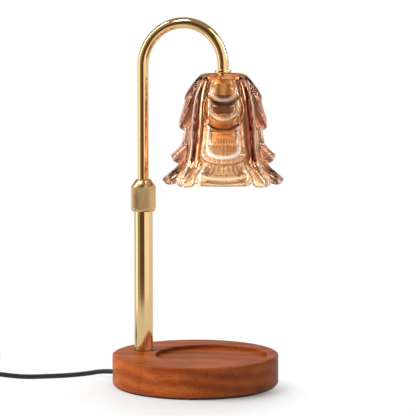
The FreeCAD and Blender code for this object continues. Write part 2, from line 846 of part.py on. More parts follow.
def cord_sleeve():
    """The sleeve that leads the cord through the side of the base, with a short tapered nose."""
    body = rod_x(-base_r, -channel_end, 0, cord_z, sleeve_r)
    body = body.fuse(rod_x(-base_r - sleeve_flange_t, -base_r, 0, cord_z, sleeve_flange_r))
    nose_base = sleeve_nose - sleeve_flange_t
    tip = at(sleeve_tip_x, 0, cord_z)
    body = body.fuse(Part.makeCone(sleeve_r, sleeve_flange_r, nose_base, tip, at(1, 0, 0)))
    return body.cut(rod_x(sleeve_tip_x - 1, -channel_end + 1, 0, cord_z, cord_r + run_gap)).removeSplitter()


# --- dimmer on the cord ---

def dimmer_plan(inset, z0, z1):
    """The dimmer's outline as a plate, moved in by inset."""
    plate = block(dimmer_out_x + inset, dimmer_in_x - inset, dimmer_y - dimmer_w / 2 + inset,
                  dimmer_y + dimmer_w / 2 - inset, z0, z1)
    upright = [e for e in plate.Edges if abs(e.tangentAt(e.FirstParameter).z) > 0.9]
    return plate.makeFillet(dimmer_round - inset, upright)


def dimmer_screw_places():
    return [(dimmer_x + s * dimmer_screw_dx, dimmer_y + dimmer_screw_dy) for s in (-1, 1)]


def dimmer_shell(z0, z1, floor_z):
    """Half of the housing: a tray whose closed side is at floor_z."""
    shell = dimmer_plan(0, z0, z1)
    rim = [e for e in shell.Edges if e.BoundBox.ZLength < 1e-6 and abs(e.BoundBox.ZMin - floor_z) < 1e-6]
    shell = shell.makeFillet(dimmer_edge, rim)
    inside = (z0 + dimmer_wall, z1 + 1) if floor_z == z0 else (z0 - 1, z1 - dimmer_wall)
    shell = shell.cut(dimmer_plan(dimmer_wall, *inside))
    for x, y in dimmer_screw_places():
        shell = shell.fuse(rod(x, y, z0 if floor_z == z1 else z0 + dimmer_edge / 2,
                               z1 - dimmer_edge / 2 if floor_z == z1 else z1, dimmer_boss_r))
    return shell


def dimmer_cord_hole():
    return rod_x(dimmer_out_x - 1, dimmer_in_x + 1, dimmer_y, dimmer_seam, boot_tip_r)


def wheel_place():
    return dimmer_x, dimmer_y - dimmer_w / 2 - wheel_out + wheel_r


def dimmer_base():
    shell = dimmer_shell(0, dimmer_seam, 0)
    for dx in (-1, 1):
        x = dimmer_x + dx * peg_dx
        shell = shell.fuse(rod(x, wheel_place()[1], dimmer_wall - peg_root, dimmer_wall + peg_h, peg_r))
    shell = shell.cut(dimmer_cord_hole())
    for x, y in dimmer_screw_places():
        shell = shell.cut(rod(x, y, -1, dimmer_head_t, dimmer_head_r))
        shell = shell.cut(rod(x, y, -1, dimmer_seam + 1, dimmer_screw_r))
    return shell.removeSplitter()


def dimmer_lid():
    top = dimmer_seam + dimmer_lid_h
    shell = dimmer_shell(dimmer_seam, top, top)
    x, y = wheel_place()
    shell = shell.cut(rod(x, y, wheel_z - wheel_gap, wheel_z + wheel_t + wheel_gap, wheel_r + wheel_gap))
    shell = shell.cut(dimmer_cord_hole())
    for sx, sy in dimmer_screw_places():
        shell = shell.cut(rod(sx, sy, dimmer_seam - 1, top - 2 * dimmer_wall, dimmer_screw_r))
    return shell.removeSplitter()


def dimmer_screws():
    screws = []
    for x, y in dimmer_screw_places():
        head = rod(x, y, dimmer_head_sunk, dimmer_head_t, dimmer_head_r)
        shank = rod(x, y, dimmer_head_t, dimmer_seam + dimmer_screw_bite, dimmer_screw_r)
        screws.append(head.fuse(shank).removeSplitter())
    return Part.makeCompound(screws)


def board_z():
    return dimmer_wall + peg_h


def dimmer_board():
    y = wheel_place()[1]
    return block(dimmer_x - board_l / 2, dimmer_x + board_l / 2, y - board_w / 2 + board_shift,
                 y + board_w / 2 + board_shift, board_z(), board_z() + board_t)


def dimmer_pot():
    """Rotary control on the board, with the fixed pin that the wheel turns on."""
    x, y = wheel_place()
    low = board_z() + board_t
    body = block(x - pot_w / 2, x + pot_w / 2, y - pot_w / 2 + board_shift, y + pot_w / 2 + board_shift,
                 low, wheel_z - wheel_gap / 2)
    pin_top = dimmer_seam + dimmer_lid_h - dimmer_wall
    return body.fuse(rod(x, y, low, pin_top, axle_r)).removeSplitter()


def dimmer_triac():
    x, y = wheel_place()
    low = board_z() + board_t
    middle = y + board_shift
    return block(x + triac_dx, x + triac_dx + triac_l, middle - triac_w / 2, middle + triac_w / 2,
                 low, low + triac_h)


def dimmer_wheel():
    x, y = wheel_place()
    wheel = pipe(x, y, wheel_z, wheel_z + wheel_t, wheel_r, axle_r + run_gap)
    for gx, gy in ring_places(grip_count, wheel_r, x):
        wheel = wheel.cut(rod(gx, gy + y, wheel_z - 1, wheel_z + wheel_t + 1, grip_r))
    return wheel


def boot(x, direction):
    """Tapered rubber boot on the cord, from the housing's end at x."""
    body = Part.makeCone(boot_r, boot_tip_r, boot_l, at(x, dimmer_y, dimmer_seam), at(direction, 0, 0))
    neck = Part.makeCylinder(boot_tip_r, dimmer_wall, at(x, dimmer_y, dimmer_seam), at(-direction, 0, 0))
    hole = rod_x(min(x - 20, x + 20), max(x - 20, x + 20), dimmer_y, dimmer_seam, cord_r + run_gap)
    return body.fuse(neck).cut(hole).removeSplitter()


def dimmer_boots():
    return Part.makeCompound([boot(dimmer_in_x, 1), boot(dimmer_out_x, -1)])


# --- plug ---

def plug_body():
    body = block(plug_x, plug_x + plug_l, plug_y - plug_w / 2, plug_y + plug_w / 2, 0, plug_t)
    long_edges = [e for e in body.Edges if abs(e.tangentAt(e.FirstParameter).x) > 0.9]
    body = body.makeFillet(plug_round, long_edges)
    back = [e for e in body.Edges if abs(e.BoundBox.XMax - plug_x) < 1e-6]
    body = body.makeFillet(plug_round / 2, back)
    boot_tip = at(plug_x - boot_l, plug_y, plug_t / 2)
    body = body.fuse(Part.makeCone(boot_tip_r, boot_r, boot_l, boot_tip, at(1, 0, 0)))
    body = body.cut(rod_x(plug_x - boot_l - 1, plug_x, plug_y, plug_t / 2, cord_r + run_gap))
    for blade in blade_solids():
        body = body.cut(blade)
    return body.removeSplitter()


def blade_solids():
    middle = plug_t / 2
    x0, x1 = plug_x + plug_l - blade_in, plug_x + plug_l + blade_out
    blades = []
    for y in (plug_y - blade_gap / 2, plug_y + blade_gap / 2):
        blades.append(block(x0, x1, y - blade_t / 2, y + blade_t / 2,
                            middle - blade_w / 2, middle + blade_w / 2))
    return blades


def plug_blades():
    return Part.makeCompound(blade_solids())


PARTS = {
    "wood_base": wood_base, "ballast_weight": ballast_weight, "ballast_screws": ballast_screws,
    "bottom_cover": bottom_cover, "cover_screws": cover_screws, "foot_pad": foot_pad,
    "post_nipple": post_nipple, "nipple_washer": nipple_washer, "nipple_nut": nipple_nut,
    "post_seat_ring": post_seat_ring, "post_foot_plug": post_foot_plug, "post_tube": post_tube,
    "lock_collar": lock_collar, "collet_sleeve": collet_sleeve,
    "arch_tube": arch_tube, "guide_bush": guide_bush, "bush_clips": bush_clips,
    "base_lead": base_lead, "slack_lead": slack_lead, "arm_lead": arm_lead,
    "shade_flange": shade_flange, "upper_gasket": upper_gasket, "lower_gasket": lower_gasket,
    "socket_cup": socket_cup, "cup_nut": cup_nut,
    "lampholder": lampholder, "holder_contacts": holder_contacts,
    "bulb_pins": bulb_pins, "bulb_base": bulb_base, "bulb_reflector": bulb_reflector,
    "bulb_lens": bulb_lens, "bulb_capsule": bulb_capsule, "glass_shade": glass_shade,
    "cord_sleeve": cord_sleeve,
    "cord_to_dimmer": lambda: cord_solid("cord_to_dimmer", CORD_TO_DIMMER),
    "cord_to_coil": lambda: cord_solid("cord_to_coil", CORD_TO_COIL),
    "cord_coil": cord_coil,
    "cord_tail": lambda: cord_solid("cord_tail", CORD_TAIL),
    "dimmer_base": dimmer_base, "dimmer_lid": dimmer_lid, "dimmer_screws": dimmer_screws,
    "dimmer_board": dimmer_board, "dimmer_pot": dimmer_pot, "dimmer_triac": dimmer_triac,
    "dimmer_wheel": dimmer_wheel, "dimmer_boots": dimmer_boots,
    "plug_body": plug_body, "plug_blades": plug_blades,
}

os.makedirs("parts", exist_ok=True)
for name, make in PARTS.items():
    shape = make()
    if not shape.isValid() or shape.Volume <= 0:
        raise ValueError(name + " isn't a valid solid")
    shape.exportStep("parts/" + name + ".step")
    print(name, len(shape.Solids), round(shape.Volume / 1000, 2), "cm3")
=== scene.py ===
import math

import bmesh
import bpy
from mathutils import Matrix, Vector


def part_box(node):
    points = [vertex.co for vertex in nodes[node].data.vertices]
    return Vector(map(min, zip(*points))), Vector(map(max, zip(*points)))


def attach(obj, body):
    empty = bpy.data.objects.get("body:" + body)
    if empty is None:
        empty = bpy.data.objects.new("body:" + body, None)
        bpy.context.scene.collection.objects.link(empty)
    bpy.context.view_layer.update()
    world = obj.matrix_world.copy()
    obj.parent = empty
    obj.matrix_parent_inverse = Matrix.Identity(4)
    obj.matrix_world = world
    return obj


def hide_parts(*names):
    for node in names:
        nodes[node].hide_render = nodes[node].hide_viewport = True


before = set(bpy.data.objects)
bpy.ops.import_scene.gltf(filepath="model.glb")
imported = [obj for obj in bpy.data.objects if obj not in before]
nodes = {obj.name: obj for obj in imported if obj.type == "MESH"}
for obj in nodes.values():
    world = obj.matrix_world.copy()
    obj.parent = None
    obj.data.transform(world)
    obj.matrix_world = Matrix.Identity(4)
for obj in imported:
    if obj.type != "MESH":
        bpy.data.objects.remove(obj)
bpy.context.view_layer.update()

MM = 0.001
TINT = "tint"  # colour attribute of the pieces that carry their own stain, painted shade and painted highlights


# --- helpers ---

def centre_of(node):
    low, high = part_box(node)
    return (low + high) / 2


def linked(name, data):
    """Puts a mesh, a curve, a lamp or a camera in the scene."""
    made = bpy.data.objects.new(name, data)
    bpy.context.scene.collection.objects.link(made)
    return made


def mesh_object(bm, name, material):
    """Makes an object of the bmesh, which is used up."""
    mesh = bpy.data.meshes.new(name)
    bm.to_mesh(mesh)
    bm.free()
    mesh.materials.append(material)
    return linked(name, mesh)


def fitted(piece, body, replaced):
    """Makes an object a piece of the lamp that rides on a body and replaces nodes of the frame."""
    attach(piece, body)
    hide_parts(*replaced)


def finished(bm, name, material, body, replaced):
    """Makes the bmesh a smoothly shaded piece of the lamp."""
    piece = mesh_object(bm, name, material)
    for face in piece.data.polygons:
        face.use_smooth = True
    fitted(piece, body, replaced)


def outward(bm):
    """Turns every face of a closed shell outwards."""
    bmesh.ops.recalc_face_normals(bm, faces=bm.faces)
    if bm.calc_volume(signed=True) < 0:
        bmesh.ops.reverse_faces(bm, faces=bm.faces)


def spun(bm, verts, edges, centre, steps):
    """Turns an outline once about the upright axis at centre."""
    bmesh.ops.spin(bm, geom=verts + edges, cent=centre, axis=(0, 0, 1), angle=2 * math.pi, steps=steps,
                   use_merge=True)


def lathe(bm, outline, centre, steps):
    """Turns an outline of (radius, height) points about the upright axis at centre."""
    verts = [bm.verts.new((centre.x + r, centre.y, z)) for r, z in outline]
    edges = [bm.edges.new(pair) for pair in zip(verts, verts[1:])]
    spun(bm, verts, edges, centre, steps)
    bmesh.ops.remove_doubles(bm, verts=bm.verts, dist=1e-6)
    outward(bm)


def soften(bm, edges, least, width):
    """Rounds those of the edges that turn by more than a least angle, in degrees."""
    sharp = [e for e in edges if len(e.link_faces) == 2 and e.calc_face_angle() > math.radians(least)]
    bmesh.ops.bevel(bm, geom=sharp, affect="EDGES", offset=width * MM, segments=2, profile=0.5,
                    material=-1)


def around(vert, centre):
    """Angle and radius of a vertex about the upright axis at centre."""
    dx, dy = vert.co.x - centre.x, vert.co.y - centre.y
    return math.atan2(dy, dx), math.hypot(dx, dy)


def ease(t):
    """0 below 0, 1 above 1, and smooth between them."""
    t = min(max(t, 0.0), 1.0)
    return t * t * (3 - 2 * t)


def rising(value, start, fade):
    """0 up to start, and 1 from a fade beyond it."""
    return ease((value - start) / fade)


def falling(value, stop, fade):
    """1 until a fade before stop, and 0 from stop on."""
    return ease((stop - value) / fade)


def between(value, start, stop, fade):
    return rising(value, start, fade) * falling(value, stop, fade)


def hump(x, middle, half):
    return math.exp(-((x - middle) / half) ** 2)


def blend(a, b, share):
    """Colour a, gone over to b by a share."""
    return tuple(x + (y - x) * share for x, y in zip(a, b))


def times(a, b, share):
    """Colour a, multiplied by b to the extent of a share."""
    return tuple(x * (1 + (y - 1) * share) for x, y in zip(a, b))


# --- materials ---
NOISE_LOW, NOISE_HIGH = 0.3, 0.7  # a noise mostly stays between these
WHITE = (1.0, 1.0, 1.0)


def blank(name):
    """A new material, its tree and its shader."""
    material = bpy.data.materials.new(name)
    material.use_nodes = True
    tree = material.node_tree
    return material, tree, tree.nodes["Principled BSDF"]


def node(tree, kind, **values):
    """Adds a node; a value sets a property, and a name that ends in _in sets that input."""
    made = tree.nodes.new("ShaderNode" + kind)
    for key, value in values.items():
        if key.endswith("_in"):
            made.inputs[key[:-3].replace("_", " ")].default_value = value
        else:
            setattr(made, key, value)
    return made


def feed(tree, value, socket):
    """Links an output to a socket, or sets the socket to a plain value."""
    if isinstance(value, bpy.types.NodeSocket):
        tree.links.new(value, socket)
    else:
        socket.default_value = value


def place(tree, scale=(1, 1, 1), turn=(0, 0, 0), shift=(0, 0, 0)):
    """Object coordinates, turned and stretched."""
    mapping = node(tree, "Mapping", Scale_in=scale, Rotation_in=turn, Location_in=shift)
    tree.links.new(node(tree, "TexCoord").outputs["Object"], mapping.inputs["Vector"])
    return mapping.outputs["Vector"]


def noise(tree, vector, scale, detail=3.0, distortion=0.0):
    made = node(tree, "TexNoise", Scale_in=scale, Detail_in=detail, Distortion_in=distortion)
    tree.links.new(vector, made.inputs["Vector"])
    return made.outputs["Fac"]


def ramp(tree, factor, stops):
    """A colour ramp; stops are (position, colour)."""
    made = node(tree, "ValToRGB")
    points = made.color_ramp.elements
    while len(points) < len(stops):
        points.new(1.0)
    for point, (position, colour) in zip(points, stops):
        point.position = position
        point.color = (*colour, 1.0)
    tree.links.new(factor, made.inputs["Fac"])
    return made.outputs["Color"]


def mottle(tree, vector, scale, dark, light):
    """A colour that wanders between dark and light."""
    return ramp(tree, noise(tree, vector, scale), [(NOISE_LOW, dark), (NOISE_HIGH, light)])


def spread(tree, factor, low, high, from_low=NOISE_LOW, from_high=NOISE_HIGH, curve="LINEAR"):
    """Maps a value, such as a noise, to numbers between low and high."""
    made = node(tree, "MapRange", interpolation_type=curve)
    for name, value in (("From Min", from_low), ("From Max", from_high), ("To Min", low), ("To Max", high)):
        made.inputs[name].default_value = value
    tree.links.new(factor, made.inputs["Value"])
    return made.outputs["Result"]


def uneven_gloss(tree, vector, shader, scale, low, high, detail=3.0):
    """Roughness that wanders between low and high."""
    rough = spread(tree, noise(tree, vector, scale, detail), low, high)
    tree.links.new(rough, shader.inputs["Roughness"])


def bump(tree, height, shader, strength, distance):
    made = node(tree, "Bump", Strength_in=strength, Distance_in=distance)
    tree.links.new(height, made.inputs["Height"])
    tree.links.new(made.outputs["Normal"], shader.inputs["Normal"])


def mix_colour(tree, factor, first, second, blend_type="MIX"):
    made = node(tree, "Mix", data_type="RGBA", blend_type=blend_type)
    for value, name in ((factor, "Factor"), (first, "A"), (second, "B")):
        feed(tree, value, made.inputs[name])
    return made.outputs["Result"]


def mix_shader(tree, factor, first, second):
    """Shows the first shader where the factor is 0 and the second where it is 1."""
    made = node(tree, "MixShader")
    for value, socket in zip((factor, first, second), made.inputs):
        feed(tree, value, socket)
    return made.outputs["Shader"]


def show(tree, shown):
    tree.links.new(shown, tree.nodes["Material Output"].inputs["Surface"])


def everyday(name, dark, light, rough, metal=0.0, grain=400.0, relief=0.00002):
    """A plain finish: mottled colour, uneven gloss and a fine surface."""
    material, tree, shader = blank(name)
    vector = place(tree)
    tree.links.new(mottle(tree, vector, grain / 8, dark, light), shader.inputs["Base Color"])
    uneven_gloss(tree, vector, shader, grain / 3, low=rough * 0.85, high=rough * 1.2)
    bump(tree, noise(tree, vector, grain * 4), shader, strength=0.3, distance=relief)
    shader.inputs["Metallic"].default_value = metal
    return material


WOOD_LIE = (math.radians(7), math.radians(-5), math.radians(-24))
WOOD_BODY = [(0.30, (0.135, 0.022, 0.0030)), (0.55, (0.195, 0.038, 0.0045)), (0.80, (0.25, 0.054, 0.007)),
             (1.0, (0.29, 0.067, 0.010))]
WOOD_PORES = [(0.34, (0.42, 0.34, 0.30)), (0.48, WHITE)]
RING_SHARE = 0.34
PORE_SHARE = 0.75


def walnut():
    """Reddish brown lacquered wood, its fibres lying across the base."""
    material, tree, shader = blank("walnut")
    rings = node(tree, "TexWave", wave_type="RINGS", rings_direction="X", Scale_in=26.0, Distortion_in=5.0,
                 Detail_in=2.0, Detail_Scale_in=0.6)
    tree.links.new(place(tree, turn=WOOD_LIE, shift=(0, 0.05, 0.09)), rings.inputs["Vector"])
    figure = noise(tree, place(tree, scale=(0.35, 1, 1), turn=WOOD_LIE), 42.0, detail=4.0, distortion=0.8)
    pores = noise(tree, place(tree, scale=(0.05, 1, 1), turn=WOOD_LIE), 1500.0, detail=2.0)
    grain = node(tree, "Math", operation="MULTIPLY_ADD")
    for value, socket in zip((rings.outputs["Fac"], RING_SHARE, figure), grain.inputs):
        feed(tree, value, socket)
    body = ramp(tree, grain.outputs["Value"], WOOD_BODY)
    colour = mix_colour(tree, PORE_SHARE, body, ramp(tree, pores, WOOD_PORES), "MULTIPLY")
    tree.links.new(colour, shader.inputs["Base Color"])
    tree.links.new(spread(tree, figure, 0.36, 0.48), shader.inputs["Roughness"])
    bump(tree, pores, shader, strength=0.12, distance=0.0001)
    shader.inputs["Specular IOR Level"].default_value = 0.10
    shader.inputs["Coat Weight"].default_value = 0.02
    shader.inputs["Coat Roughness"].default_value = 0.25
    return material


BRASS_DARK, BRASS_LIGHT = (0.86, 0.60, 0.28), (0.91, 0.66, 0.34)


def brass(name, low_rough, high_rough, dull=1.0):
    """Brass with faint uneven polish, its colour multiplied by a shade factor, which is painted shade where
    it is below 1.
    """
    material, tree, shader = blank(name)
    vector = place(tree, scale=(1.0, 1.0, 0.35))
    dark, light = (tuple(share * dull for share in colour) for colour in (BRASS_DARK, BRASS_LIGHT))
    tree.links.new(mottle(tree, vector, 30.0, dark, light), shader.inputs["Base Color"])
    uneven_gloss(tree, vector, shader, 160.0, low_rough, high_rough, detail=5.0)
    bump(tree, noise(tree, vector, 60.0), shader, strength=0.02, distance=0.0002)
    shader.inputs["Metallic"].default_value = 1.0
    return material


def through_lamps(tree, shader, clear):
    """Lets the lamps' light through the glass, tinted as a clear colour, so that what it holds is lit."""
    passing = node(tree, "BsdfTransparent", Color_in=(*clear, 1.0))
    shadow = node(tree, "LightPath").outputs["Is Shadow Ray"]
    show(tree, mix_shader(tree, shadow, shader.outputs["BSDF"], passing.outputs["BSDF"]))


def tinted(tree, colour):
    """A colour multiplied by the piece's own colour attribute, which holds its stain, painted shade and
    painted highlights, and that attribute's alpha.
    """
    own = node(tree, "Attribute", attribute_name=TINT)
    return mix_colour(tree, 1.0, colour, own.outputs["Color"], "MULTIPLY"), own.outputs["Alpha"]


def amber_glass():
    """Clear pressed glass, stained amber on its walls and a little pink all through; the colour attribute
    adds painted shade and highlights, and where its alpha drops the glass turns milky as a painted
    highlight.
    """
    material, tree, shader = blank("amber_glass")
    vector = place(tree)
    colour, clear = tinted(tree, mottle(tree, vector, 40.0, (0.96, 0.95, 0.94), WHITE))
    tree.links.new(colour, shader.inputs["Base Color"])
    tree.links.new(clear, shader.inputs["Transmission Weight"])
    uneven_gloss(tree, vector, shader, 90.0, 0.0, 0.02)
    bump(tree, noise(tree, vector, 70.0), shader, strength=0.05, distance=0.0004)
    shader.inputs["IOR"].default_value = 1.52
    shader.inputs["Specular Tint"].default_value = (1.0, 0.64, 0.46, 1.0)
    through_lamps(tree, shader, (0.93, 0.78, 0.62))
    inside = node(tree, "VolumeAbsorption", Density_in=80.0)
    inside.inputs["Color"].default_value = (0.955, 0.85, 0.78, 1.0)
    tree.links.new(inside.outputs["Volume"], tree.nodes["Material Output"].inputs["Volume"])
    return material


def mirror_coat():
    """Warm metallic coating, darker where the slots are painted on as shade."""
    material, tree, shader = blank("mirror_coat")
    vector = place(tree)
    colour = tinted(tree, mottle(tree, vector, 60.0, (0.46, 0.43, 0.36), (0.54, 0.51, 0.43)))[0]
    tree.links.new(colour, shader.inputs["Base Color"])
    uneven_gloss(tree, vector, shader, 140.0, 0.38, 0.5)
    bump(tree, noise(tree, vector, 900.0), shader, strength=0.2, distance=0.00002)
    shader.inputs["Metallic"].default_value = 0.35
    return material


def clear_glass(name, tint):
    material, tree, shader = blank(name)
    vector = place(tree)
    tree.links.new(mottle(tree, vector, 60.0, tint, WHITE), shader.inputs["Base Color"])
    uneven_gloss(tree, vector, shader, 120.0, 0.02, 0.06)
    shader.inputs["Transmission Weight"].default_value = 1.0
    shader.inputs["IOR"].default_value = 1.47
    through_lamps(tree, shader, tint)
    return material


FINISH = {
    "walnut": walnut(),
    "polished_brass": brass("polished_brass", 0.09, 0.13),
    # the knurled collar's brass is darkened as painted shade in its grooves
    "satin_brass": brass("satin_brass", 0.20, 0.28, dull=0.72),
    "cup_brass": everyday("cup_brass", (0.62, 0.55, 0.40), (0.70, 0.63, 0.47), 0.28, metal=1.0),
    "holder_metal": everyday("holder_metal", (0.12, 0.10, 0.10), (0.17, 0.14, 0.135), 0.34, metal=1.0),
    # brass darkened as painted shade for the shadow at the foot of the post
    "shaded_brass": brass("shaded_brass", 0.3, 0.45, dull=0.3),
    "amber_glass": amber_glass(),
    "lens_glass": clear_glass("lens_glass", (0.93, 0.96, 0.97)),
    "pad_foam": everyday("pad_foam", (0.010, 0.010, 0.011), (0.022, 0.021, 0.021), 0.85, grain=1600,
                         relief=0.0001),
    "cover_board": everyday("cover_board", (0.03, 0.022, 0.016), (0.06, 0.045, 0.033), 0.7, grain=900),
    "cast_iron": everyday("cast_iron", (0.05, 0.05, 0.052), (0.10, 0.10, 0.10), 0.6, metal=1.0, grain=700),
    "zinc": everyday("zinc", (0.50, 0.49, 0.47), (0.62, 0.61, 0.58), 0.3, metal=1.0, grain=500),
    "nylon": everyday("nylon", (0.66, 0.64, 0.58), (0.75, 0.73, 0.68), 0.45),
    "silicone": everyday("silicone", (0.66, 0.62, 0.56), (0.74, 0.71, 0.66), 0.35),
    "cord_sheath": everyday("cord_sheath", (0.006, 0.006, 0.007), (0.013, 0.013, 0.014), 0.38, grain=900,
                            relief=0.00003),
    "boot_rubber": everyday("boot_rubber", (0.008, 0.008, 0.008), (0.017, 0.016, 0.016), 0.5, grain=1200),
    "dimmer_plastic": everyday("dimmer_plastic", (0.008, 0.008, 0.009), (0.015, 0.015, 0.016), 0.28,
                               grain=2400, relief=0.00004),
    "wheel_plastic": everyday("wheel_plastic", (0.015, 0.015, 0.016), (0.030, 0.030, 0.031), 0.42,
                              grain=1800),
    "board_green": everyday("board_green", (0.010, 0.060, 0.020), (0.018, 0.095, 0.035), 0.4),
    "ceramic": everyday("ceramic", (0.42, 0.36, 0.28), (0.50, 0.44, 0.35), 0.55),
    "contact_brass": brass("contact_brass", 0.2, 0.35),
    "pin_steel": everyday("pin_steel", (0.55, 0.54, 0.52), (0.66, 0.65, 0.62), 0.25, metal=1.0),
    "mirror_coat": mirror_coat(),
}

# finish of each node that is shown as it comes from the frame
DRESS = {
    "walnut": ["wood_base"],
    "polished_brass": ["shade_flange"],
    "cup_brass": ["socket_cup"],
    "holder_metal": ["lampholder"],
    "shaded_brass": ["post_seat_ring"],
    "lens_glass": ["bulb_lens", "bulb_capsule"],
    "pad_foam": ["foot_pad"],
    "cover_board": ["bottom_cover"],
    "cast_iron": ["ballast_weight"],
    "zinc": ["ballast_screws", "cover_screws", "post_nipple", "nipple_washer", "nipple_nut",
             "post_foot_plug", "bush_clips", "cup_nut", "dimmer_screws"],
    "nylon": ["collet_sleeve", "guide_bush"],
    "silicone": ["upper_gasket", "lower_gasket"],
    "cord_sheath": ["base_lead", "slack_lead", "arm_lead"],
    "boot_rubber": ["cord_sleeve", "dimmer_boots", "plug_body"],
    "dimmer_plastic": ["dimmer_base", "dimmer_lid"],
    "wheel_plastic": ["dimmer_wheel", "dimmer_pot", "dimmer_triac"],
    "board_green": ["dimmer_board"],
    "ceramic": ["bulb_base"],
    "contact_brass": ["holder_contacts", "plug_blades"],
    "pin_steel": ["bulb_pins"],
}
for finish, names in DRESS.items():
    for name in names:
        piece = nodes[name]
        piece.data.materials.clear()
        piece.data.materials.append(FINISH[finish])


# --- glass shade: form ---
# Sizes are in millimetres and degrees. A depth is measured down from the top of the glass, a line is a list
# of (depth, radius) points, and a side is the angle from the middle of the nearest column of petals. A list
# of three values has one for each tier of petals, from the top, and a distance in is measured from the
# outline of a petal or lobe.
# The form is that of the frame's shade, with longer petals on every second column, beads and grooves along
# the petals' outlines, and flutes inside.
SHADE_X = centre_of("shade_flange").x / MM
GLASS_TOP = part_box("glass_shade")[1].z / MM
GLASS_H = 98.5
GLASS_WALL = 3.0
RIM_WALL = 2.6
RIM_ROUND = 0.4  # how far the rim is rounded, as a share of its wall
HOLE_R = 5.5
SHOULDER = 1.4  # depth at which the outer wall starts
INNER_TOP = 7.5  # depth at which the inner wall ends
TOP_FACE = [(HOLE_R, 0.0), (11.0, 0.0), (15.8, 0.0), (17.4, 0.2), (18.8, 0.7)]  # radius, depth
CEILING = [(19.8, 6.4), (17.5, 4.9), (15.0, 3.5), (12.6, 2.5), (11.0, 2.4), (HOLE_R, 2.4)]
GLASS_STEPS = 360
OUTER_STEP, INNER_STEP, RIM_STEPS = 0.85, 1.2, 6
SPUN_R = 30.0  # radius at which the net is spun, before each point goes to its own

SHADE_TURN = 19.0
COLUMNS = 4
COLUMN_HALF = 180 / COLUMNS
BACK_COLUMN = 90.0
VALLEY = [
    (0, 19), (4, 22.6), (14, 27.2), (26, 30.4), (52, 33.6), (68, 35.6), (80, 38.6), (90, 44.4),
    (98.5, 48.5),
]
RIB = [(0, 19.4), (8, 26.6), (25, 35.4), (47, 38.6), (68, 40.2), (82, 45.2), (94, 53.2), (98.5, 51.6)]
RIB_SHARP = 5.6
RELIEF_START = 6.0  # the relief fades in over this depth

PETALS = [
    [(0, 19.2), (6, 24.8), (13, 30.2), (18, 33.2), (22, 34.4), (28, 34.7)],
    [(7, 24.0), (20, 32.6), (34, 36.8), (41, 38.8), (46, 39.8), (52, 40.0)],
    [(34, 33.0), (50, 34.9), (58.5, 36.3), (63, 37.7), (68, 42.0), (72, 45.6), (76, 46.3), (82, 44.6)],
]
PETAL_HALF = [25.0, 33.0, 30.0]
PETAL_BEND = [10.0, 28.0, 60.0]  # depth where a petal's sides start to round in
PETAL_FOOT = [27.5, 50.2, 80.0]  # depth of its tip
PETAL_SQUARE = [2.2, 2.2, 3.0]  # how square its tip is
LONG_PETALS = [
    [(0, 19.2), (6, 24.8), (13, 30.6), (18, 33.8), (23, 36.0), (31, 37.2)],
    [(10, 23.0), (20, 31.0), (27, 34.4), (34, 36.8), (41, 38.8), (46, 39.8), (52, 40.0)],
    [(34, 33.0), (50, 34.9), (58.5, 36.3), (63, 37.7), (68, 41.0), (72, 44.6), (76, 45.8), (82, 44.6)],
]
LONG_HALF = [30.0, 36.0, 34.5]
LONG_FOOT = [29.5, 50.8, 81.0]
LONG_SQUARE = [2.0, 2.0, 2.3]
PETAL_ROLL = [2.4, 4.2, 6.0]  # how far its lip rolls back
PETAL_LIP = 6.0
LIP_FALL = 2.0
BEAD = [0.5, 0.5, 1.1]
BEAD_IN = [4.2, 8.6, 7.8]
BEAD_HALF = [1.2, 1.3, 2.3]
GROOVE = [0.0, 0.3, 0.7]
GROOVE_IN = [6.5, 5.4, 4.9]
GROOVE_HALF = 1.8

LOBE = [(78, 38.4), (85, 44.0), (90, 49.4), (93.5, 53.5), (96, 54.0), (98.5, 52.0)]
LOBE_HALF = 28.0
LOBE_ROLL = 5.0
LOBE_BEAD, LOBE_BEAD_IN, LOBE_BEAD_HALF = 0.6, 3.2, 1.7
LOBE_SAG = 5.0  # a lobe's flare starts this much higher at its sides
LOBE_LIFT = 1.5
LOBE_SCALLOP = 2.2
NOTCH_SIDE = 31.0
NOTCH_HALF = 4.0

# the inner wall stays this far behind the middle of the long columns
CLEAR_WALL = 4.6
CLEAR_HALF, CLEAR_FADE = 26.0, 7.0
CLEAR_FROM, CLEAR_FROM_FADE = 4.0, 4.0
CLEAR_TO, CLEAR_TO_FADE = 70.0, 8.0
CLEAR_STEP = 3.0  # depth over which it steps from one petal to the next

FLUTE_COUNT = 64
FLUTE_DEEP = 0.3
FLUTE_FROM, FLUTE_TO, FLUTE_FADE = 76.0, 91.0, 5.0


def follow(line, depth):
    """Radius at a depth on a line, smooth through its points."""
    if depth <= line[0][0]:
        return line[0][1]
    for i in range(len(line) - 1):
        (d0, r0), (d1, r1) = line[i], line[i + 1]
        if depth <= d1:
            before, after = line[max(i - 1, 0)], line[min(i + 2, len(line) - 1)]
            slope0 = (r1 - before[1]) / (d1 - before[0])
            slope1 = (after[1] - r0) / (after[0] - d0)
            t, span = (depth - d0) / (d1 - d0), d1 - d0
            return ((2 * t ** 3 - 3 * t ** 2 + 1) * r0 + (t ** 3 - 2 * t ** 2 + t) * span * slope0
                    + (3 * t ** 2 - 2 * t ** 3) * r1 + (t ** 3 - t ** 2) * span * slope1)
    return line[-1][1]


def column_at(angle):
    """The side at an angle round the shade, and whether its column is a long one."""
    side = abs((angle + COLUMN_HALF) % (2 * COLUMN_HALF) - COLUMN_HALF)
    return side, int((angle + COLUMN_HALF) // (2 * COLUMN_HALF)) % 2 == 1


def rolled(line, depth, inside, roll):
    """Radius of a petal whose lip rolls back near its outline, which is a distance in."""
    back = min(max((PETAL_LIP - inside) / PETAL_LIP, 0.0), 1.0)
    return follow(line, depth) - roll * (1 - math.sqrt(1 - back * back)) - LIP_FALL * max(-inside, 0.0)


def petal_foot(tier, long):
    return (LONG_FOOT if long else PETAL_FOOT)[tier]


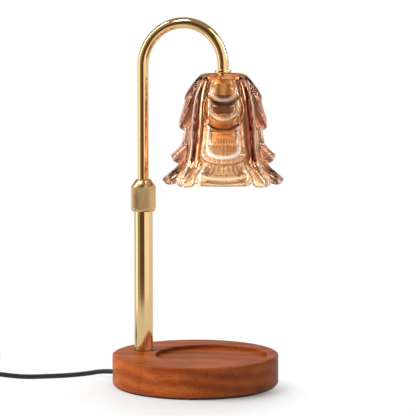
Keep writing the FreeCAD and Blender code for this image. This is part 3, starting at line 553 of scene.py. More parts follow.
def petal_inside(tier, side, depth, long):
    """Distance in from the petal's outline."""
    down = max((depth - PETAL_BEND[tier]) / (petal_foot(tier, long) - PETAL_BEND[tier]), 0.0)
    square = (LONG_SQUARE if long else PETAL_SQUARE)[tier]
    half = (LONG_HALF if long else PETAL_HALF)[tier]
    reach = ((side / half) ** square + down ** square) ** (1 / square)
    return (1 - reach) * math.radians(half) * follow(VALLEY, depth)


def petal_radius(tier, side, depth, long):
    line = (LONG_PETALS if long else PETALS)[tier]
    if depth < line[0][0]:
        return 0.0
    inside = petal_inside(tier, side, depth, long)
    bead = BEAD[tier] * hump(inside, BEAD_IN[tier], BEAD_HALF[tier])
    groove = GROOVE[tier] * hump(inside, GROOVE_IN[tier], GROOVE_HALF)
    return rolled(line, depth, inside, PETAL_ROLL[tier]) + (bead - groove)


def lobe_inside(side, depth):
    return (1 - side / LOBE_HALF) * math.radians(LOBE_HALF) * follow(VALLEY, depth)


def lobe_radius(side, depth):
    flare = depth + LOBE_SAG * (side / LOBE_HALF) ** 2
    inside = lobe_inside(side, depth)
    return rolled(LOBE, flare, inside, LOBE_ROLL) + LOBE_BEAD * hump(inside, LOBE_BEAD_IN, LOBE_BEAD_HALF)


def rib_radius(side, depth):
    valley = follow(VALLEY, depth)
    return valley + (follow(RIB, depth) - valley) * hump(side, COLUMN_HALF, RIB_SHARP)


def shape_at(side, depth, long):
    """Radius and name of the rib, petal or lobe that stands out furthest; a petal's name is its tier."""
    shapes = [(rib_radius(side, depth), "rib")]
    shapes += [(petal_radius(tier, side, depth, long), tier) for tier in range(len(PETALS))]
    if depth > LOBE[0][0]:
        shapes.append((lobe_radius(side, depth), "lobe"))
    return max(shapes, key=lambda shape: shape[0])


def rim_share(depth):
    """0 down to the lowest petals' feet, and 1 at the rim."""
    return rising(depth, PETAL_FOOT[2], GLASS_H - PETAL_FOOT[2])


def rim_rise(side, depth):
    """How far the rim lifts along a lobe and at the notch beside it."""
    notch = LOBE_SCALLOP * hump(side, NOTCH_SIDE, NOTCH_HALF)
    lobe = LOBE_LIFT * falling(side, NOTCH_SIDE + NOTCH_HALF, NOTCH_HALF)
    return (notch + lobe) * rim_share(depth)


def outside_radius(side, depth, long):
    valley = follow(VALLEY, depth)
    return valley + (shape_at(side, depth, long)[0] - valley) * rising(depth, 0, RELIEF_START)


def clear_line(depth):
    """Radius of a long column's petals at their middle, stepping from petal to petal."""
    radius = follow(LONG_PETALS[0], depth)
    for line, foot in zip(LONG_PETALS[1:], LONG_FOOT):
        radius += (follow(line, depth) - radius) * rising(depth, foot - CLEAR_STEP / 2, CLEAR_STEP)
    return radius


def flutes_at(depth):
    return between(depth, FLUTE_FROM, FLUTE_TO, FLUTE_FADE)


def inside_radius(side, depth, angle, long):
    """The inside is plain, but follows the long columns' petals at their middle and the lobes at the rim."""
    plain = follow(VALLEY, depth) - GLASS_WALL
    if long:
        clear = falling(side, CLEAR_HALF, CLEAR_FADE) * rising(depth, CLEAR_FROM, CLEAR_FROM_FADE)
        clear *= falling(depth, CLEAR_TO, CLEAR_TO_FADE)
        plain += max(clear_line(depth) - CLEAR_WALL - plain, 0.0) * clear
    lobed = outside_radius(side, depth, long) - RIM_WALL
    flute = FLUTE_DEEP * math.cos(math.radians(angle * FLUTE_COUNT)) * flutes_at(depth)
    return plain + (lobed - plain) * rim_share(depth) + flute


def glass_outline():
    """Half section of the shade as (radius, depth, wall), once round from the hole.

    A wall that has relief gets its radius later, and at the rim the first value is the share of the way
    across it.
    """
    outer_rows = int(GLASS_H / OUTER_STEP)
    inner_rows = int((GLASS_H - INNER_TOP) / INNER_STEP)
    outer_h, inner_h = GLASS_H - SHOULDER, GLASS_H - INNER_TOP
    outline = [(radius, depth, "flat") for radius, depth in TOP_FACE]
    outline += [(0.0, SHOULDER + outer_h * i / outer_rows, "outer") for i in range(outer_rows + 1)]
    outline += [(i / RIM_STEPS, GLASS_H, "rim") for i in range(1, RIM_STEPS)]
    outline += [(0.0, GLASS_H - inner_h * i / inner_rows, "inner") for i in range(inner_rows + 1)]
    outline += [(radius, depth, "flat") for radius, depth in CEILING]
    return outline


def glass_point(value, depth, wall, side, angle, long):
    """Radius and depth of a point of the half section with its relief."""
    if wall == "flat":
        return value, depth
    raised = depth - rim_rise(side, depth)
    if wall == "outer":
        return outside_radius(side, depth, long), raised
    if wall == "inner":
        return inside_radius(side, depth, angle, long), raised
    outer, inner = outside_radius(side, depth, long), inside_radius(side, depth, angle, long)
    radius = (outer + inner) / 2 + (outer - inner) / 2 * math.cos(math.pi * value)
    return radius, raised + RIM_WALL * RIM_ROUND * math.sin(math.pi * value)


# --- glass shade: stain, painted shade and painted highlights ---
# A stain is that of one wall, as the share of red, green and blue that it lets through. Besides the glass's
# own amber, it paints shade beside the ribs, along outlines and in the flutes, and highlights on beads and
# crests.
AMBER = (0.86, 0.54, 0.26)
PALE = (0.97, 0.82, 0.62)
ROSE = (1.0, 0.60, 0.43)
FLANK_FROM, FLANK_FADE = 0.66, 0.3
WINDOW = (0.93, 0.72, 0.50)
LOW_WINDOW = (0.82, 0.60, 0.42)
WINDOW_HALF, WINDOW_FADE = 24.0, 6.0
WINDOW_TO, LOW_WINDOW_FROM, WINDOW_BLEND = 44.0, 52.0, 8.0
SKIRT = (0.88, 0.68, 0.46)
SKIRT_ABOVE, SKIRT_FADE = 4.0, 12.0  # it starts this far above the lowest petals' feet
SKIRT_SHARE, SKIRT_OFF_FLANK = 0.8, 0.7
# painted shade, dark and streaked, in the valleys beside the ribs of the front and back columns
VALLEY_SHADE = (0.16, 0.006, 0.0004)
VALLEY_SIDE, VALLEY_HALF = 40.0, 7.0
VALLEY_FRONT, VALLEY_FRONT_FADE = 0.60, 0.1
VALLEY_FADE = 8.0
VALLEY_INSIDE = 0.3
STREAK_SHADE = (0.12, 0.10, 0.12)
STREAK_SHARE = 0.8
STREAK_MIDDLE, STREAK_SWING = 0.4, 0.9
STREAK_DOWN, STREAK_ACROSS = 0.35, 0.8  # radians for each millimetre down and each degree across
SWAY, SWAY_DOWN = 2.0, 0.21
LIP_STAIN = [(0.50, 0.32, 0.26), (0.50, 0.31, 0.25), (0.92, 0.84, 0.78)]
LIP_WIDE = [3.4, 7.4, 1.5]
LIP_FADE, LIP_OFF_FLANK = 2.5, 0.6
# painted shade along the outlines of petals and lobes
EDGE_SHADE = (0.08, 0.03, 0.02)
EDGE_IN, EDGE_HALF = 1.3, 1.2
LOBE_EDGE_IN, LOBE_EDGE_HALF = 1.0, 1.0
# painted highlights: pale lines on the beads, inside the lowest petals' edges, on the lobes' beads and on
# the rib crests
PALE_HIGHLIGHT = (1.0, 0.94, 0.85)
BEAD_PALE = [0.6, 0.7, 0.95]
BEAD_PALE_WIDE = 0.8  # how wide the pale line is, as a share of its bead
EDGE_PALE, LOBE_PALE, RIB_PALE = 0.8, 0.5, 0.8
ROOF_STAIN = (0.38, 0.21, 0.12)
ROOF_TO, ROOF_FADE = 7.0, 3.0
# painted shade: dark strokes in the flutes inside the skirt, near the middle of each column
STROKE_SHADE = (0.06, 0.02, 0.01)
STROKE_SHARE, STROKE_HALF, STROKE_FADE = 0.85, 34.0, 6.0
# painted highlights, made by turning the outside milky on the beads, the lowest petals' edges, the lobes'
# beads and the rib crests
BEAD_HIGHLIGHT = [0.36, 0.34, 0.60]
BEAD_HIGHLIGHT_WIDE = 0.75
HIGHLIGHT_OFF_FLANK = 0.6
FOOT_HIGHLIGHT_LEAST, FOOT_HIGHLIGHT_ABOVE, FOOT_HIGHLIGHT_FADE = 0.55, 20.0, 12.0
EDGE_HIGHLIGHT = [0.0, 0.0, 0.34]
EDGE_HIGHLIGHT_IN, EDGE_HIGHLIGHT_HALF = 2.8, 1.1
LOBE_HIGHLIGHT, LOBE_HIGHLIGHT_WIDE = 0.45, 0.8
RIB_HIGHLIGHT, RIB_HIGHLIGHT_HALF, RIB_HIGHLIGHT_LEAST = 0.45, 1.9, 0.35
RIB_HIGHLIGHT_AT = [(18, 9), (76, 12)]  # depths at which a rib's painted highlight is strongest, each with its half length
RIB_HIGHLIGHT_FROM, RIB_HIGHLIGHT_FADE = 6.0, 4.0


def front_share(angle):
    """From 1 at the middle of the front column to -1 at the middle of the back one."""
    return -math.cos(math.radians(angle - BACK_COLUMN))


def flank_share(angle):
    """0 on the front and back columns, and 1 on those between them."""
    return falling(abs(front_share(angle)), FLANK_FROM, FLANK_FADE)


def rib_crest(side):
    return hump(side, COLUMN_HALF, RIB_HIGHLIGHT_HALF)


def wall_stain(side, depth, front, flank, low):
    """The stain under the lines: clearer in the middle of the front column, rose on the flanks."""
    tint = PALE
    if front > 0:
        window = falling(side, WINDOW_HALF, WINDOW_FADE)
        tint = blend(AMBER, WINDOW, window * falling(depth, WINDOW_TO, WINDOW_BLEND))
        tint = blend(tint, LOW_WINDOW, window * rising(depth, LOW_WINDOW_FROM, WINDOW_BLEND))
    tint = blend(tint, ROSE, flank)
    return blend(tint, SKIRT, SKIRT_SHARE * low * (1 - SKIRT_OFF_FLANK * flank))


def rib_shade_and_highlight(tint, side, depth, valley):
    """Painted shade, dark and streaked, in the valley beside a rib, and a painted highlight on its crest."""
    wave = STREAK_DOWN * depth + STREAK_ACROSS * side + SWAY * math.sin(SWAY_DOWN * depth)
    streak = ease(STREAK_MIDDLE + STREAK_SWING * math.sin(wave))
    tint = times(tint, VALLEY_SHADE, valley)
    tint = times(tint, STREAK_SHADE, STREAK_SHARE * streak * valley)
    return blend(tint, PALE_HIGHLIGHT, RIB_PALE * rib_crest(side))


# a painted highlight on a lobe's bead and painted shade along its outline
def lobe_highlight_and_shade(tint, inside):
    tint = blend(tint, PALE_HIGHLIGHT, LOBE_PALE * hump(inside, LOBE_BEAD_IN, LOBE_BEAD_HALF))
    return times(tint, EDGE_SHADE, hump(inside, LOBE_EDGE_IN, LOBE_EDGE_HALF))


def petal_stain_and_light(tint, tier, inside, flank, wall):
    """Painted shade along a petal's outline on the outside, a deeper stain on its lip, and painted
    highlights on its bead and, on the lowest petals, inside its edge.
    """
    if wall == "outer":
        lip = falling(inside, LIP_WIDE[tier], LIP_FADE) * (1 - LIP_OFF_FLANK * flank)
        tint = times(tint, LIP_STAIN[tier], lip)
        tint = times(tint, EDGE_SHADE, hump(inside, EDGE_IN, EDGE_HALF))
    pale = hump(inside, BEAD_IN[tier], BEAD_HALF[tier] * BEAD_PALE_WIDE)
    tint = blend(tint, PALE_HIGHLIGHT, BEAD_PALE[tier] * pale)
    if EDGE_HIGHLIGHT[tier]:
        tint = blend(tint, PALE_HIGHLIGHT, EDGE_PALE * hump(inside, EDGE_HIGHLIGHT_IN, EDGE_HIGHLIGHT_HALF))
    return tint


def glass_stain_and_light(side, depth, angle, long, wall):
    """Amber stain at a point of a wall, with painted shade and painted highlights."""
    front, flank = front_share(angle), flank_share(angle)
    low = rising(depth, PETAL_FOOT[2] - SKIRT_ABOVE, SKIRT_FADE)
    # valley is where the painted shade beside the ribs falls
    valley = hump(side, VALLEY_SIDE, VALLEY_HALF) * rising(abs(front), VALLEY_FRONT, VALLEY_FRONT_FADE)
    valley *= (1 - low) * rising(depth, 0, VALLEY_FADE)
    tint = wall_stain(side, depth, front, flank, low)
    name = shape_at(side, depth, long)[1]
    if name == "rib":
        tint = rib_shade_and_highlight(tint, side, depth, valley)
    elif name == "lobe":
        tint = lobe_highlight_and_shade(tint, lobe_inside(side, depth))
    else:
        tint = petal_stain_and_light(tint, name, petal_inside(name, side, depth, long), flank, wall)
    if wall != "inner":
        return times(tint, ROOF_STAIN, falling(depth, ROOF_TO, ROOF_FADE))
    # some of the valleys' painted shade on the inner wall too
    tint = times(tint, VALLEY_SHADE, VALLEY_INSIDE * valley)
    # painted shade in the flutes
    stroke = max(math.cos(math.radians(angle * FLUTE_COUNT)), 0.0) ** 2 * flutes_at(depth)
    return times(tint, STROKE_SHADE, STROKE_SHARE * stroke * falling(side, STROKE_HALF, STROKE_FADE))


def glass_highlight(side, depth, angle, long):
    """How milky the outside is at a point, which paints its white highlights: on the petals' beads and edges
    and the lobes' beads, most at the front and back, and on the rib crests.
    """
    strong = 1 - HIGHLIGHT_OFF_FLANK * flank_share(angle)
    name = shape_at(side, depth, long)[1]
    if name == "rib":
        high = max(hump(depth, middle, half) for middle, half in RIB_HIGHLIGHT_AT)
        shown = RIB_HIGHLIGHT_LEAST + (1 - RIB_HIGHLIGHT_LEAST) * high
        return RIB_HIGHLIGHT * rib_crest(side) * shown * rising(depth, RIB_HIGHLIGHT_FROM, RIB_HIGHLIGHT_FADE)
    if name == "lobe":
        bead = hump(lobe_inside(side, depth), LOBE_BEAD_IN, LOBE_BEAD_HALF * LOBE_HIGHLIGHT_WIDE)
        return strong * LOBE_HIGHLIGHT * bead
    inside = petal_inside(name, side, depth, long)
    near_foot = rising(depth, petal_foot(name, long) - FOOT_HIGHLIGHT_ABOVE, FOOT_HIGHLIGHT_FADE)
    bead = BEAD_HIGHLIGHT[name] * hump(inside, BEAD_IN[name], BEAD_HALF[name] * BEAD_HIGHLIGHT_WIDE)
    edge = EDGE_HIGHLIGHT[name] * hump(inside, EDGE_HIGHLIGHT_IN, EDGE_HIGHLIGHT_HALF)
    return strong * (FOOT_HIGHLIGHT_LEAST + (1 - FOOT_HIGHLIGHT_LEAST) * near_foot) * (bead + edge)


def shade_glass():
    rows = glass_outline()
    centre = Vector((SHADE_X * MM, 0, 0))
    bm = bmesh.new()
    row_of = bm.verts.layers.int.new("row")
    colour_of = bm.verts.layers.float_color.new(TINT)
    verts = [bm.verts.new((centre.x + SPUN_R * MM, 0, i * MM)) for i in range(len(rows))]
    for i, vert in enumerate(verts):
        vert[row_of] = i
    edges = [bm.edges.new(pair) for pair in zip(verts, verts[1:] + verts[:1])]
    spun(bm, verts, edges, centre, GLASS_STEPS)
    for vert in bm.verts:
        value, depth, wall = rows[vert[row_of]]
        turn = around(vert, centre)[0]
        angle = (math.degrees(turn) - SHADE_TURN) % 360
        side, long = column_at(angle)
        radius, drop = glass_point(value, depth, wall, side, angle, long)
        # the outside's milkiness, its painted highlights, goes into the alpha of its colour attribute
        milky_highlight = glass_highlight(side, depth, angle, long) if wall == "outer" else 0.0
        vert[colour_of] = (*glass_stain_and_light(side, depth, angle, long, wall), 1.0 - milky_highlight)
        x, y = radius * MM * math.cos(turn), radius * MM * math.sin(turn)
        vert.co = (centre.x + x, y, (GLASS_TOP - drop) * MM)
    outward(bm)
    finished(bm, "shade_glass", FINISH["amber_glass"], "arm", ["glass_shade"])


shade_glass()


# --- tubes ---
POST_WALL = 1.0
POST_STEPS = 128
ARM_R = 5.0
ARM_WALL = 1.0
ARM_END_DOWN = 21.4
ARM_SIDES, BEND_STEPS = 64, 96
END_RING = 0.8  # a ring of faces at each end, so that the rounding shades well
END_SHARP, END_ROUND = 60, 0.2


def lower_tube():
    low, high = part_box("post_tube")
    outer = (high.x - low.x) / 2
    inner = outer - POST_WALL * MM
    ends = (low.z, low.z + END_RING * MM, high.z - END_RING * MM, high.z)
    outline = [(outer, z) for z in ends] + [(inner, z) for z in reversed(ends)]
    bm = bmesh.new()
    lathe(bm, outline + outline[:1], centre_of("post_tube"), POST_STEPS)
    soften(bm, bm.edges, END_SHARP, END_ROUND)
    finished(bm, "lower_tube", FINISH["polished_brass"], "root", ["post_tube"])


def drawn(bm, section, height):
    """Draws a cross-section straight on to a height, and gives the new one."""
    made = bmesh.ops.extrude_face_region(bm, geom=section)["geom"]
    for part in made:
        if isinstance(part, bmesh.types.BMVert):
            part.co.z = height
    return made


def arched_arm():
    """Tube of the arm: straight up, half a turn and a short way down."""
    low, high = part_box("arch_tube")
    start_x, end_x = low.x + ARM_R * MM, high.x - ARM_R * MM
    bend_r = (end_x - start_x) / 2
    bend = Vector((start_x + bend_r, 0, high.z - ARM_R * MM - bend_r))
    end_z = bend.z - ARM_END_DOWN * MM
    bm = bmesh.new()
    verts = [bm.verts.new((start_x + radius * MM, 0, low.z)) for radius in (ARM_R, ARM_R - ARM_WALL)]
    spun(bm, verts, [bm.edges.new(verts)], (start_x, 0, low.z), ARM_SIDES)
    section = bm.verts[:] + bm.edges[:] + bm.faces[:]
    section = drawn(bm, drawn(bm, section, low.z + END_RING * MM), bend.z)
    turned = bmesh.ops.spin(bm, geom=section, cent=bend, axis=(0, 1, 0), angle=math.pi,
                            steps=BEND_STEPS)
    drawn(bm, drawn(bm, turned["geom_last"], end_z + END_RING * MM), end_z)
    outward(bm)
    soften(bm, bm.edges, END_SHARP, END_ROUND)
    finished(bm, "arched_arm", FINISH["polished_brass"], "arm", ["arch_tube"])


lower_tube()
arched_arm()


# --- clamp collar ---
COLLAR_CHAMFER = 2.4
COLLAR_CONE_H, COLLAR_CONE_R = 6.5, 6.5
COLLAR_BORE_R, COLLAR_BORE_H = 8.55, 6.0
COLLAR_MOUTH_R, COLLAR_MOUTH_H = 5.15, 12.0
COLLAR_SHARP, COLLAR_ROUND = 20, 0.25
KNURL_TEETH, KNURL_STEPS = 108, 6
KNURL_DEEP, KNURL_BLUNT = 0.22, 0.6
KNURL_ABOVE, KNURL_BELOW = 0.6, 1.0  # from the chamfer and from the shoulder
KNURL_RUN = 0.3
KNURL_CLEAR = 1.0  # edges this near to the knurl stay sharp


def knurled_collar():
    """The collar with a fine straight knurl between two polished rings."""
    low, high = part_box("lock_collar")
    centre = centre_of("lock_collar")
    radius = (high.x - low.x) / 2
    root_r = radius - KNURL_DEEP * MM
    chamfer, shoulder = COLLAR_CHAMFER * MM, high.z - COLLAR_CONE_H * MM
    knurl_low, knurl_high = low.z + chamfer + KNURL_ABOVE * MM, shoulder - KNURL_BELOW * MM
    run, clear = KNURL_RUN * MM, KNURL_CLEAR * MM
    bore_r, mouth_r = COLLAR_BORE_R * MM, COLLAR_MOUTH_R * MM
    outline = [
        (bore_r, low.z + COLLAR_BORE_H * MM), (bore_r, low.z), (radius - chamfer / 2, low.z),
        (radius, low.z + chamfer), (radius, knurl_low - run), (root_r, knurl_low), (root_r, knurl_high),
        (radius, knurl_high + run), (radius, shoulder), (COLLAR_CONE_R * MM, high.z), (mouth_r, high.z),
        (mouth_r, high.z - COLLAR_MOUTH_H * MM),
    ]
    bm = bmesh.new()
    lathe(bm, outline, centre, KNURL_TEETH * KNURL_STEPS)
    for vert in bm.verts:
        turn, r = around(vert, centre)
        if abs(r - root_r) < 1e-6:
            wave = 0.5 + 0.5 * math.cos(turn * KNURL_TEETH)
            r = root_r + KNURL_DEEP * MM * wave ** KNURL_BLUNT
            vert.co.x, vert.co.y = centre.x + r * math.cos(turn), centre.y + r * math.sin(turn)
    plain = [e for e in bm.edges if not knurl_low - clear < e.verts[0].co.z < knurl_high + clear]
    soften(bm, plain, COLLAR_SHARP, COLLAR_ROUND)
    finished(bm, "knurled_collar", FINISH["satin_brass"], "collar", ["lock_collar"])


knurled_collar()


# --- bulb ---
# Places down the bowl are shares of its height.
BOWL_RIM_R, BOWL_NECK_R, BOWL_WALL = 25.0, 8.3, 1.2
BOWL_ROWS, BOWL_SWELL, BOWL_DROP = 30, 0.92, 1.35
BOWL_WALL_DROP = 0.4  # how far the inner wall lies below the outer one, as a share of the wall
FACETS, FACET_STEPS = 44, 8
FACET_DEEP, FACET_FROM, FACET_FADE = 0.7, 0.125, 0.625
SLOTS = [(0.10, 0.30), (0.40, 0.62)]
SLOT_FADE = 0.05
SLOT_SHADE = (0.22, 0.13, 0.08)


def bulb_bowl():
    """Coated reflector of the bulb, with pressed facets and two rings of slots below its neck, painted on as
    dark shade.
    """
    low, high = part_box("bulb_reflector")
    centre = centre_of("bulb_reflector")
    height = high.z - low.z
    wall = BOWL_WALL * MM
    outer = []
    for i in range(BOWL_ROWS + 1):
        t = i / BOWL_ROWS
        swell = math.sin(t * math.pi / 2) ** BOWL_SWELL
        radius = (BOWL_NECK_R + (BOWL_RIM_R - BOWL_NECK_R) * swell) * MM
        outer.append((radius, high.z - height * t ** BOWL_DROP))
    inner = [(r - wall, max(z - wall * BOWL_WALL_DROP, low.z)) for r, z in reversed(outer)]
    bm = bmesh.new()
    colour_of = bm.verts.layers.float_color.new(TINT)
    lathe(bm, outer + inner + outer[:1], centre, FACETS * FACET_STEPS)
    for vert in bm.verts:
        turn, r = around(vert, centre)
        down = (high.z - vert.co.z) / height
        r -= FACET_DEEP * MM * rising(down, FACET_FROM, FACET_FADE) * abs(math.sin(turn * FACETS / 2))
        vert.co.x, vert.co.y = centre.x + r * math.cos(turn), centre.y + r * math.sin(turn)
        # the slots are painted shade: dark stripes round the bowl, in two rings
        beside = (0.5 - 0.5 * math.cos(turn * FACETS)) ** 2
        shown = max(between(down, start, stop, SLOT_FADE) for start, stop in SLOTS)
        vert[colour_of] = (*times(WHITE, SLOT_SHADE, beside * shown), 1.0)
    finished(bm, "bulb_bowl", FINISH["mirror_coat"], "bulb", ["bulb_reflector"])


bulb_bowl()


# --- mains cord ---
CORD_R = 2.2
CORD_Z = 5.6
CORD_IN = 3.0  # the cord reaches this far into the dimmer
DIMMER_Y = -47.0
DIMMER_SEAM = 6.5
SLEEVE_TIP_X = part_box("cord_sleeve")[0].x / MM
DIMMER_LOW_X, DIMMER_HIGH_X = (corner.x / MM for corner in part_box("dimmer_base"))
COIL_X = centre_of("cord_coil").x / MM
COIL_Y = centre_of("cord_coil").y / MM
COIL_R_MAX = 34.6
COIL_TURNS = 7.5
COIL_PITCH = 4.45
COIL_POINTS = 16  # control points in each turn
COIL_START = 270
COIL_CLIMB = 0.5  # the cord climbs to the upper layer in this part of a turn
PLUG_X = -256.5
PLUG_Y = 29.0
PLUG_Z = 7.0
FRONT_ROUTE = [
    (SLEEVE_TIP_X, 0, CORD_Z), (-91, 0, CORD_Z), (-104, -4.5, 3.2), (-119, -14, CORD_R),
    (-136, -25, CORD_R), (-157.5, -36, CORD_R), (-184.5, DIMMER_Y, DIMMER_SEAM),
    (DIMMER_HIGH_X - CORD_IN, DIMMER_Y, DIMMER_SEAM),
]
REAR_ROUTE = [(DIMMER_LOW_X + CORD_IN, DIMMER_Y, DIMMER_SEAM), (-291.5, DIMMER_Y, DIMMER_SEAM)]
TAIL_ROUTE = [(-300, 22.6, 6.2), (-278.5, PLUG_Y, PLUG_Z), (PLUG_X, PLUG_Y, PLUG_Z)]


def coil_points():
    """Control points of the coil: clockwise inwards on the lower layer, then outwards on the upper one."""
    fuller = 1 / math.cos(math.pi / COIL_POINTS)
    half = COIL_TURNS / 2
    points = []
    for i in range(int(COIL_TURNS * COIL_POINTS) + 1):
        turn = i / COIL_POINTS
        radius = (COIL_R_MAX - COIL_PITCH * min(turn, COIL_TURNS - turn)) * fuller
        angle = math.radians(COIL_START - 360 * turn)
        height = CORD_R + 2 * CORD_R * rising(turn, half - COIL_CLIMB / 2, COIL_CLIMB)
        points.append((COIL_X + radius * math.cos(angle), COIL_Y + radius * math.sin(angle), height))
    return points


def mains_cord(name, route, replaced):
    curve = bpy.data.curves.new(name, "CURVE")
    curve.dimensions = "3D"
    spline = curve.splines.new("NURBS")
    spline.points.add(len(route) - 1)
    for point, place_mm in zip(spline.points, route):
        point.co = (*(value * MM for value in place_mm), 1.0)
    spline.order_u = 3
    spline.use_endpoint_u = True
    spline.resolution_u = 8
    curve.bevel_depth = CORD_R * MM
    curve.bevel_resolution = 5
    curve.use_fill_caps = True
    curve.materials.append(FINISH["cord_sheath"])
    piece = linked(name, curve)
    fitted(piece, "root", replaced)
    return piece


front_cord = mains_cord("front_cord", FRONT_ROUTE, ["cord_to_dimmer"])
rear_cord = mains_cord("rear_cord", REAR_ROUTE + coil_points() + TAIL_ROUTE,
                       ["cord_to_coil", "cord_coil", "cord_tail"])


# --- floor, light and camera ---
# Lengths are in metres. An azimuth is measured from the camera's side of the lamp, in degrees.
CAMERA_AZIMUTH = math.radians(19)
CAMERA_PLACE = (0.4096, -1.1546, 0.2438)
CAMERA_PITCH = math.radians(3.95)
CAMERA_LENS, CAMERA_SENSOR = 118.2, 36
LAMP_MIDDLE = Vector((0, 0, 0.16))
FLOOR_R = 1.3
FLOOR_SHIFT = (-0.001, 0.047, 0)
FLOOR_FADE_FROM, FLOOR_FADE_TO = 0.06, 0.12
PAPER_DARK, PAPER_LIGHT = (0.48, 0.48, 0.48), (0.50, 0.50, 0.50)
MATTE = (0.75, 0.75, 0.75, 1.0)
FLAG_HEIGHT = 0.75


def staged(bm, name, material):
    piece = mesh_object(bm, name, material)
    return piece


def floor_material():
    """White studio floor that keeps soft shadows near the lamp and fades to plain white further out."""
    material, tree, shader = blank("studio_floor")
    tree.nodes.remove(shader)
    vector = place(tree, shift=FLOOR_SHIFT)
    far = node(tree, "VectorMath", operation="LENGTH")
    tree.links.new(vector, far.inputs[0])
    fade = spread(tree, far.outputs["Value"], 0.0, 1.0, FLOOR_FADE_FROM, FLOOR_FADE_TO, "SMOOTHSTEP")
    paper = node(tree, "BsdfDiffuse")
    tree.links.new(mottle(tree, vector, 3.0, PAPER_DARK, PAPER_LIGHT), paper.inputs["Color"])
    shine = node(tree, "BsdfGlossy", Roughness_in=0.16)
    white = node(tree, "Emission", Strength_in=1.0)
    dim = node(tree, "Emission", Strength_in=0.76)
    matte = node(tree, "BsdfDiffuse", Color_in=MATTE)
    path = node(tree, "LightPath")
    shown = mix_shader(tree, 0.10, paper.outputs["BSDF"], shine.outputs["BSDF"])
    shown = mix_shader(tree, fade, shown, white.outputs["Emission"])
    shown = mix_shader(tree, path.outputs["Is Glossy Ray"], shown, dim.outputs["Emission"])
    shown = mix_shader(tree, path.outputs["Is Diffuse Ray"], shown, matte.outputs["BSDF"])
    show(tree, shown)
    return material


def studio_floor():
    bm = bmesh.new()
    bmesh.ops.create_circle(bm, cap_ends=True, segments=96, radius=FLOOR_R)
    staged(bm, "studio_floor", floor_material())


def studio_flag(name, azimuth, distance, width, dark, light):
    """A plain upright card that only reflections see."""
    material, tree, shader = blank(name + "_card")
    tree.nodes.remove(shader)
    glow = node(tree, "Emission")
    tree.links.new(mottle(tree, place(tree), 2.0, dark, light), glow.inputs["Color"])
    show(tree, glow.outputs["Emission"])
    turn = CAMERA_AZIMUTH + math.radians(azimuth)
    bm = bmesh.new()
    bmesh.ops.create_grid(bm, x_segments=2, y_segments=2, size=0.5)
    bmesh.ops.scale(bm, verts=bm.verts, vec=(width, FLAG_HEIGHT, 1))
    bmesh.ops.rotate(bm, verts=bm.verts, matrix=Matrix.Rotation(math.radians(90), 3, "X"))
    bmesh.ops.translate(bm, verts=bm.verts, vec=(0, -distance, FLAG_HEIGHT / 2))
    bmesh.ops.rotate(bm, verts=bm.verts, matrix=Matrix.Rotation(turn, 3, "Z"))
    flag = staged(bm, name, material)
    flag.visible_camera = False
    flag.visible_diffuse = False
    flag.visible_shadow = False
    flag.visible_transmission = False


studio_floor()
studio_flag("front_flag", azimuth=-17, distance=0.5, width=0.51,
            dark=(0.085, 0.045, 0.022), light=(0.13, 0.075, 0.040))
studio_flag("left_flag", azimuth=-56, distance=0.56, width=0.32,
            dark=(0.34, 0.29, 0.24), light=(0.42, 0.36, 0.30))
studio_flag("left_line", azimuth=-92, distance=0.5, width=0.09,
            dark=(2.3, 2.2, 2.0), light=(2.6, 2.5, 2.3))
studio_flag("right_flag", azimuth=42, distance=0.5, width=0.66,
            dark=(0.98, 0.95, 0.92), light=(1.06, 1.03, 1.0))

# what the sky gives to each kind of ray
GLOSSY_FRONT, GLOSSY_BACK = (0.95, 0.95, 0.95), (0.74, 0.74, 0.74)
GLOSSY_OVERHEAD = (0.30, 0.25, 0.21, 1.0)
THROUGH_FRONT, THROUGH_BACK = (1.0, 0.76, 0.58), (1.25, 1.25, 1.25)
DIFFUSE_SKY = (0.6, 0.6, 0.6, 1.0)
CAMERA_SKY = (*WHITE, 1.0)


def across_sky(tree, axis, start, stop, curve="LINEAR"):
    """A value that goes from 0 to 1 along an axis of the sky; Y points away from the camera."""
    turned = node(tree, "Mapping", Rotation_in=(0, 0, -CAMERA_AZIMUTH))
    tree.links.new(node(tree, "TexCoord").outputs["Generated"], turned.inputs["Vector"])
    parts = node(tree, "SeparateXYZ")
    tree.links.new(turned.outputs["Vector"], parts.inputs["Vector"])
    return spread(tree, parts.outputs[axis], 0.0, 1.0, start, stop, curve)


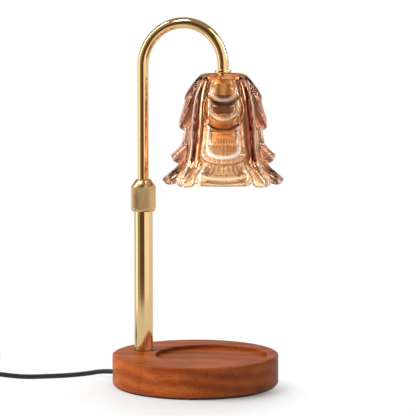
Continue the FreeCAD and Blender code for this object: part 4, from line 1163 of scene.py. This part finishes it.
def world_light():
    """White to the camera, even fill for matt surfaces, and to reflections a studio that is dim overhead."""
    world = bpy.data.worlds.new("studio")
    bpy.context.scene.world = world
    world.use_nodes = True
    tree = world.node_tree
    path = node(tree, "LightPath")
    level = ramp(tree, across_sky(tree, "Y", -1.0, 1.0, "SMOOTHSTEP"),
                 [(0.0, GLOSSY_FRONT), (1.0, GLOSSY_BACK)])
    through = ramp(tree, across_sky(tree, "Y", -0.60, 0.15, "SMOOTHSTEP"),
                   [(0.0, THROUGH_FRONT), (1.0, THROUGH_BACK)])
    colour = mix_colour(tree, across_sky(tree, "Z", 0.14, 0.42), level, GLOSSY_OVERHEAD)
    for ray, seen in (("Is Transmission Ray", through), ("Is Diffuse Ray", DIFFUSE_SKY),
                      ("Is Camera Ray", CAMERA_SKY)):
        colour = mix_colour(tree, path.outputs[ray], colour, seen)
    tree.links.new(colour, tree.nodes["Background"].inputs["Color"])


world_light()


def soft_box(name, azimuth, elevation, distance, size, power, mirrored):
    """An area light aimed at the lamp; a mirrored one shows in reflections and lights no matt surface."""
    turn, rise = CAMERA_AZIMUTH + math.radians(azimuth), math.radians(elevation)
    back = Vector((math.sin(turn) * math.cos(rise), -math.cos(turn) * math.cos(rise), math.sin(rise)))
    data = bpy.data.lights.new(name, "AREA")
    data.shape = "RECTANGLE"
    data.size, data.size_y = size
    data.energy = power
    lamp = linked(name, data)
    lamp.location = LAMP_MIDDLE + back * distance
    lamp.rotation_mode = "QUATERNION"
    lamp.rotation_quaternion = back.to_track_quat("Z", "Y")
    lamp.visible_glossy = mirrored
    lamp.visible_diffuse = not mirrored


soft_box("key_box", azimuth=-80, elevation=36, distance=1.3, size=(1.2, 1.2), power=46, mirrored=False)
soft_box("upper_left_strip", azimuth=-50, elevation=52, distance=1.2, size=(0.16, 0.7), power=3.4,
         mirrored=True)
soft_box("upper_right_strip", azimuth=52, elevation=52, distance=1.2, size=(0.16, 0.7), power=2.8,
         mirrored=True)
soft_box("side_left_strip", azimuth=-88, elevation=36, distance=1.2, size=(0.14, 0.8), power=8,
         mirrored=True)
soft_box("side_right_strip", azimuth=88, elevation=36, distance=1.2, size=(0.14, 0.8), power=7,
         mirrored=True)
soft_box("back_box", azimuth=170, elevation=50, distance=1.3, size=(1.2, 0.9), power=3, mirrored=False)


def studio_camera():
    data = bpy.data.cameras.new("camera")
    data.lens = CAMERA_LENS
    data.sensor_width = CAMERA_SENSOR
    camera = linked("camera", data)
    camera.location = CAMERA_PLACE
    camera.rotation_euler = (math.radians(90) - CAMERA_PITCH, 0, CAMERA_AZIMUTH)
    bpy.context.scene.camera = camera


studio_camera()
bpy.context.scene.view_settings.view_transform = "Standard"
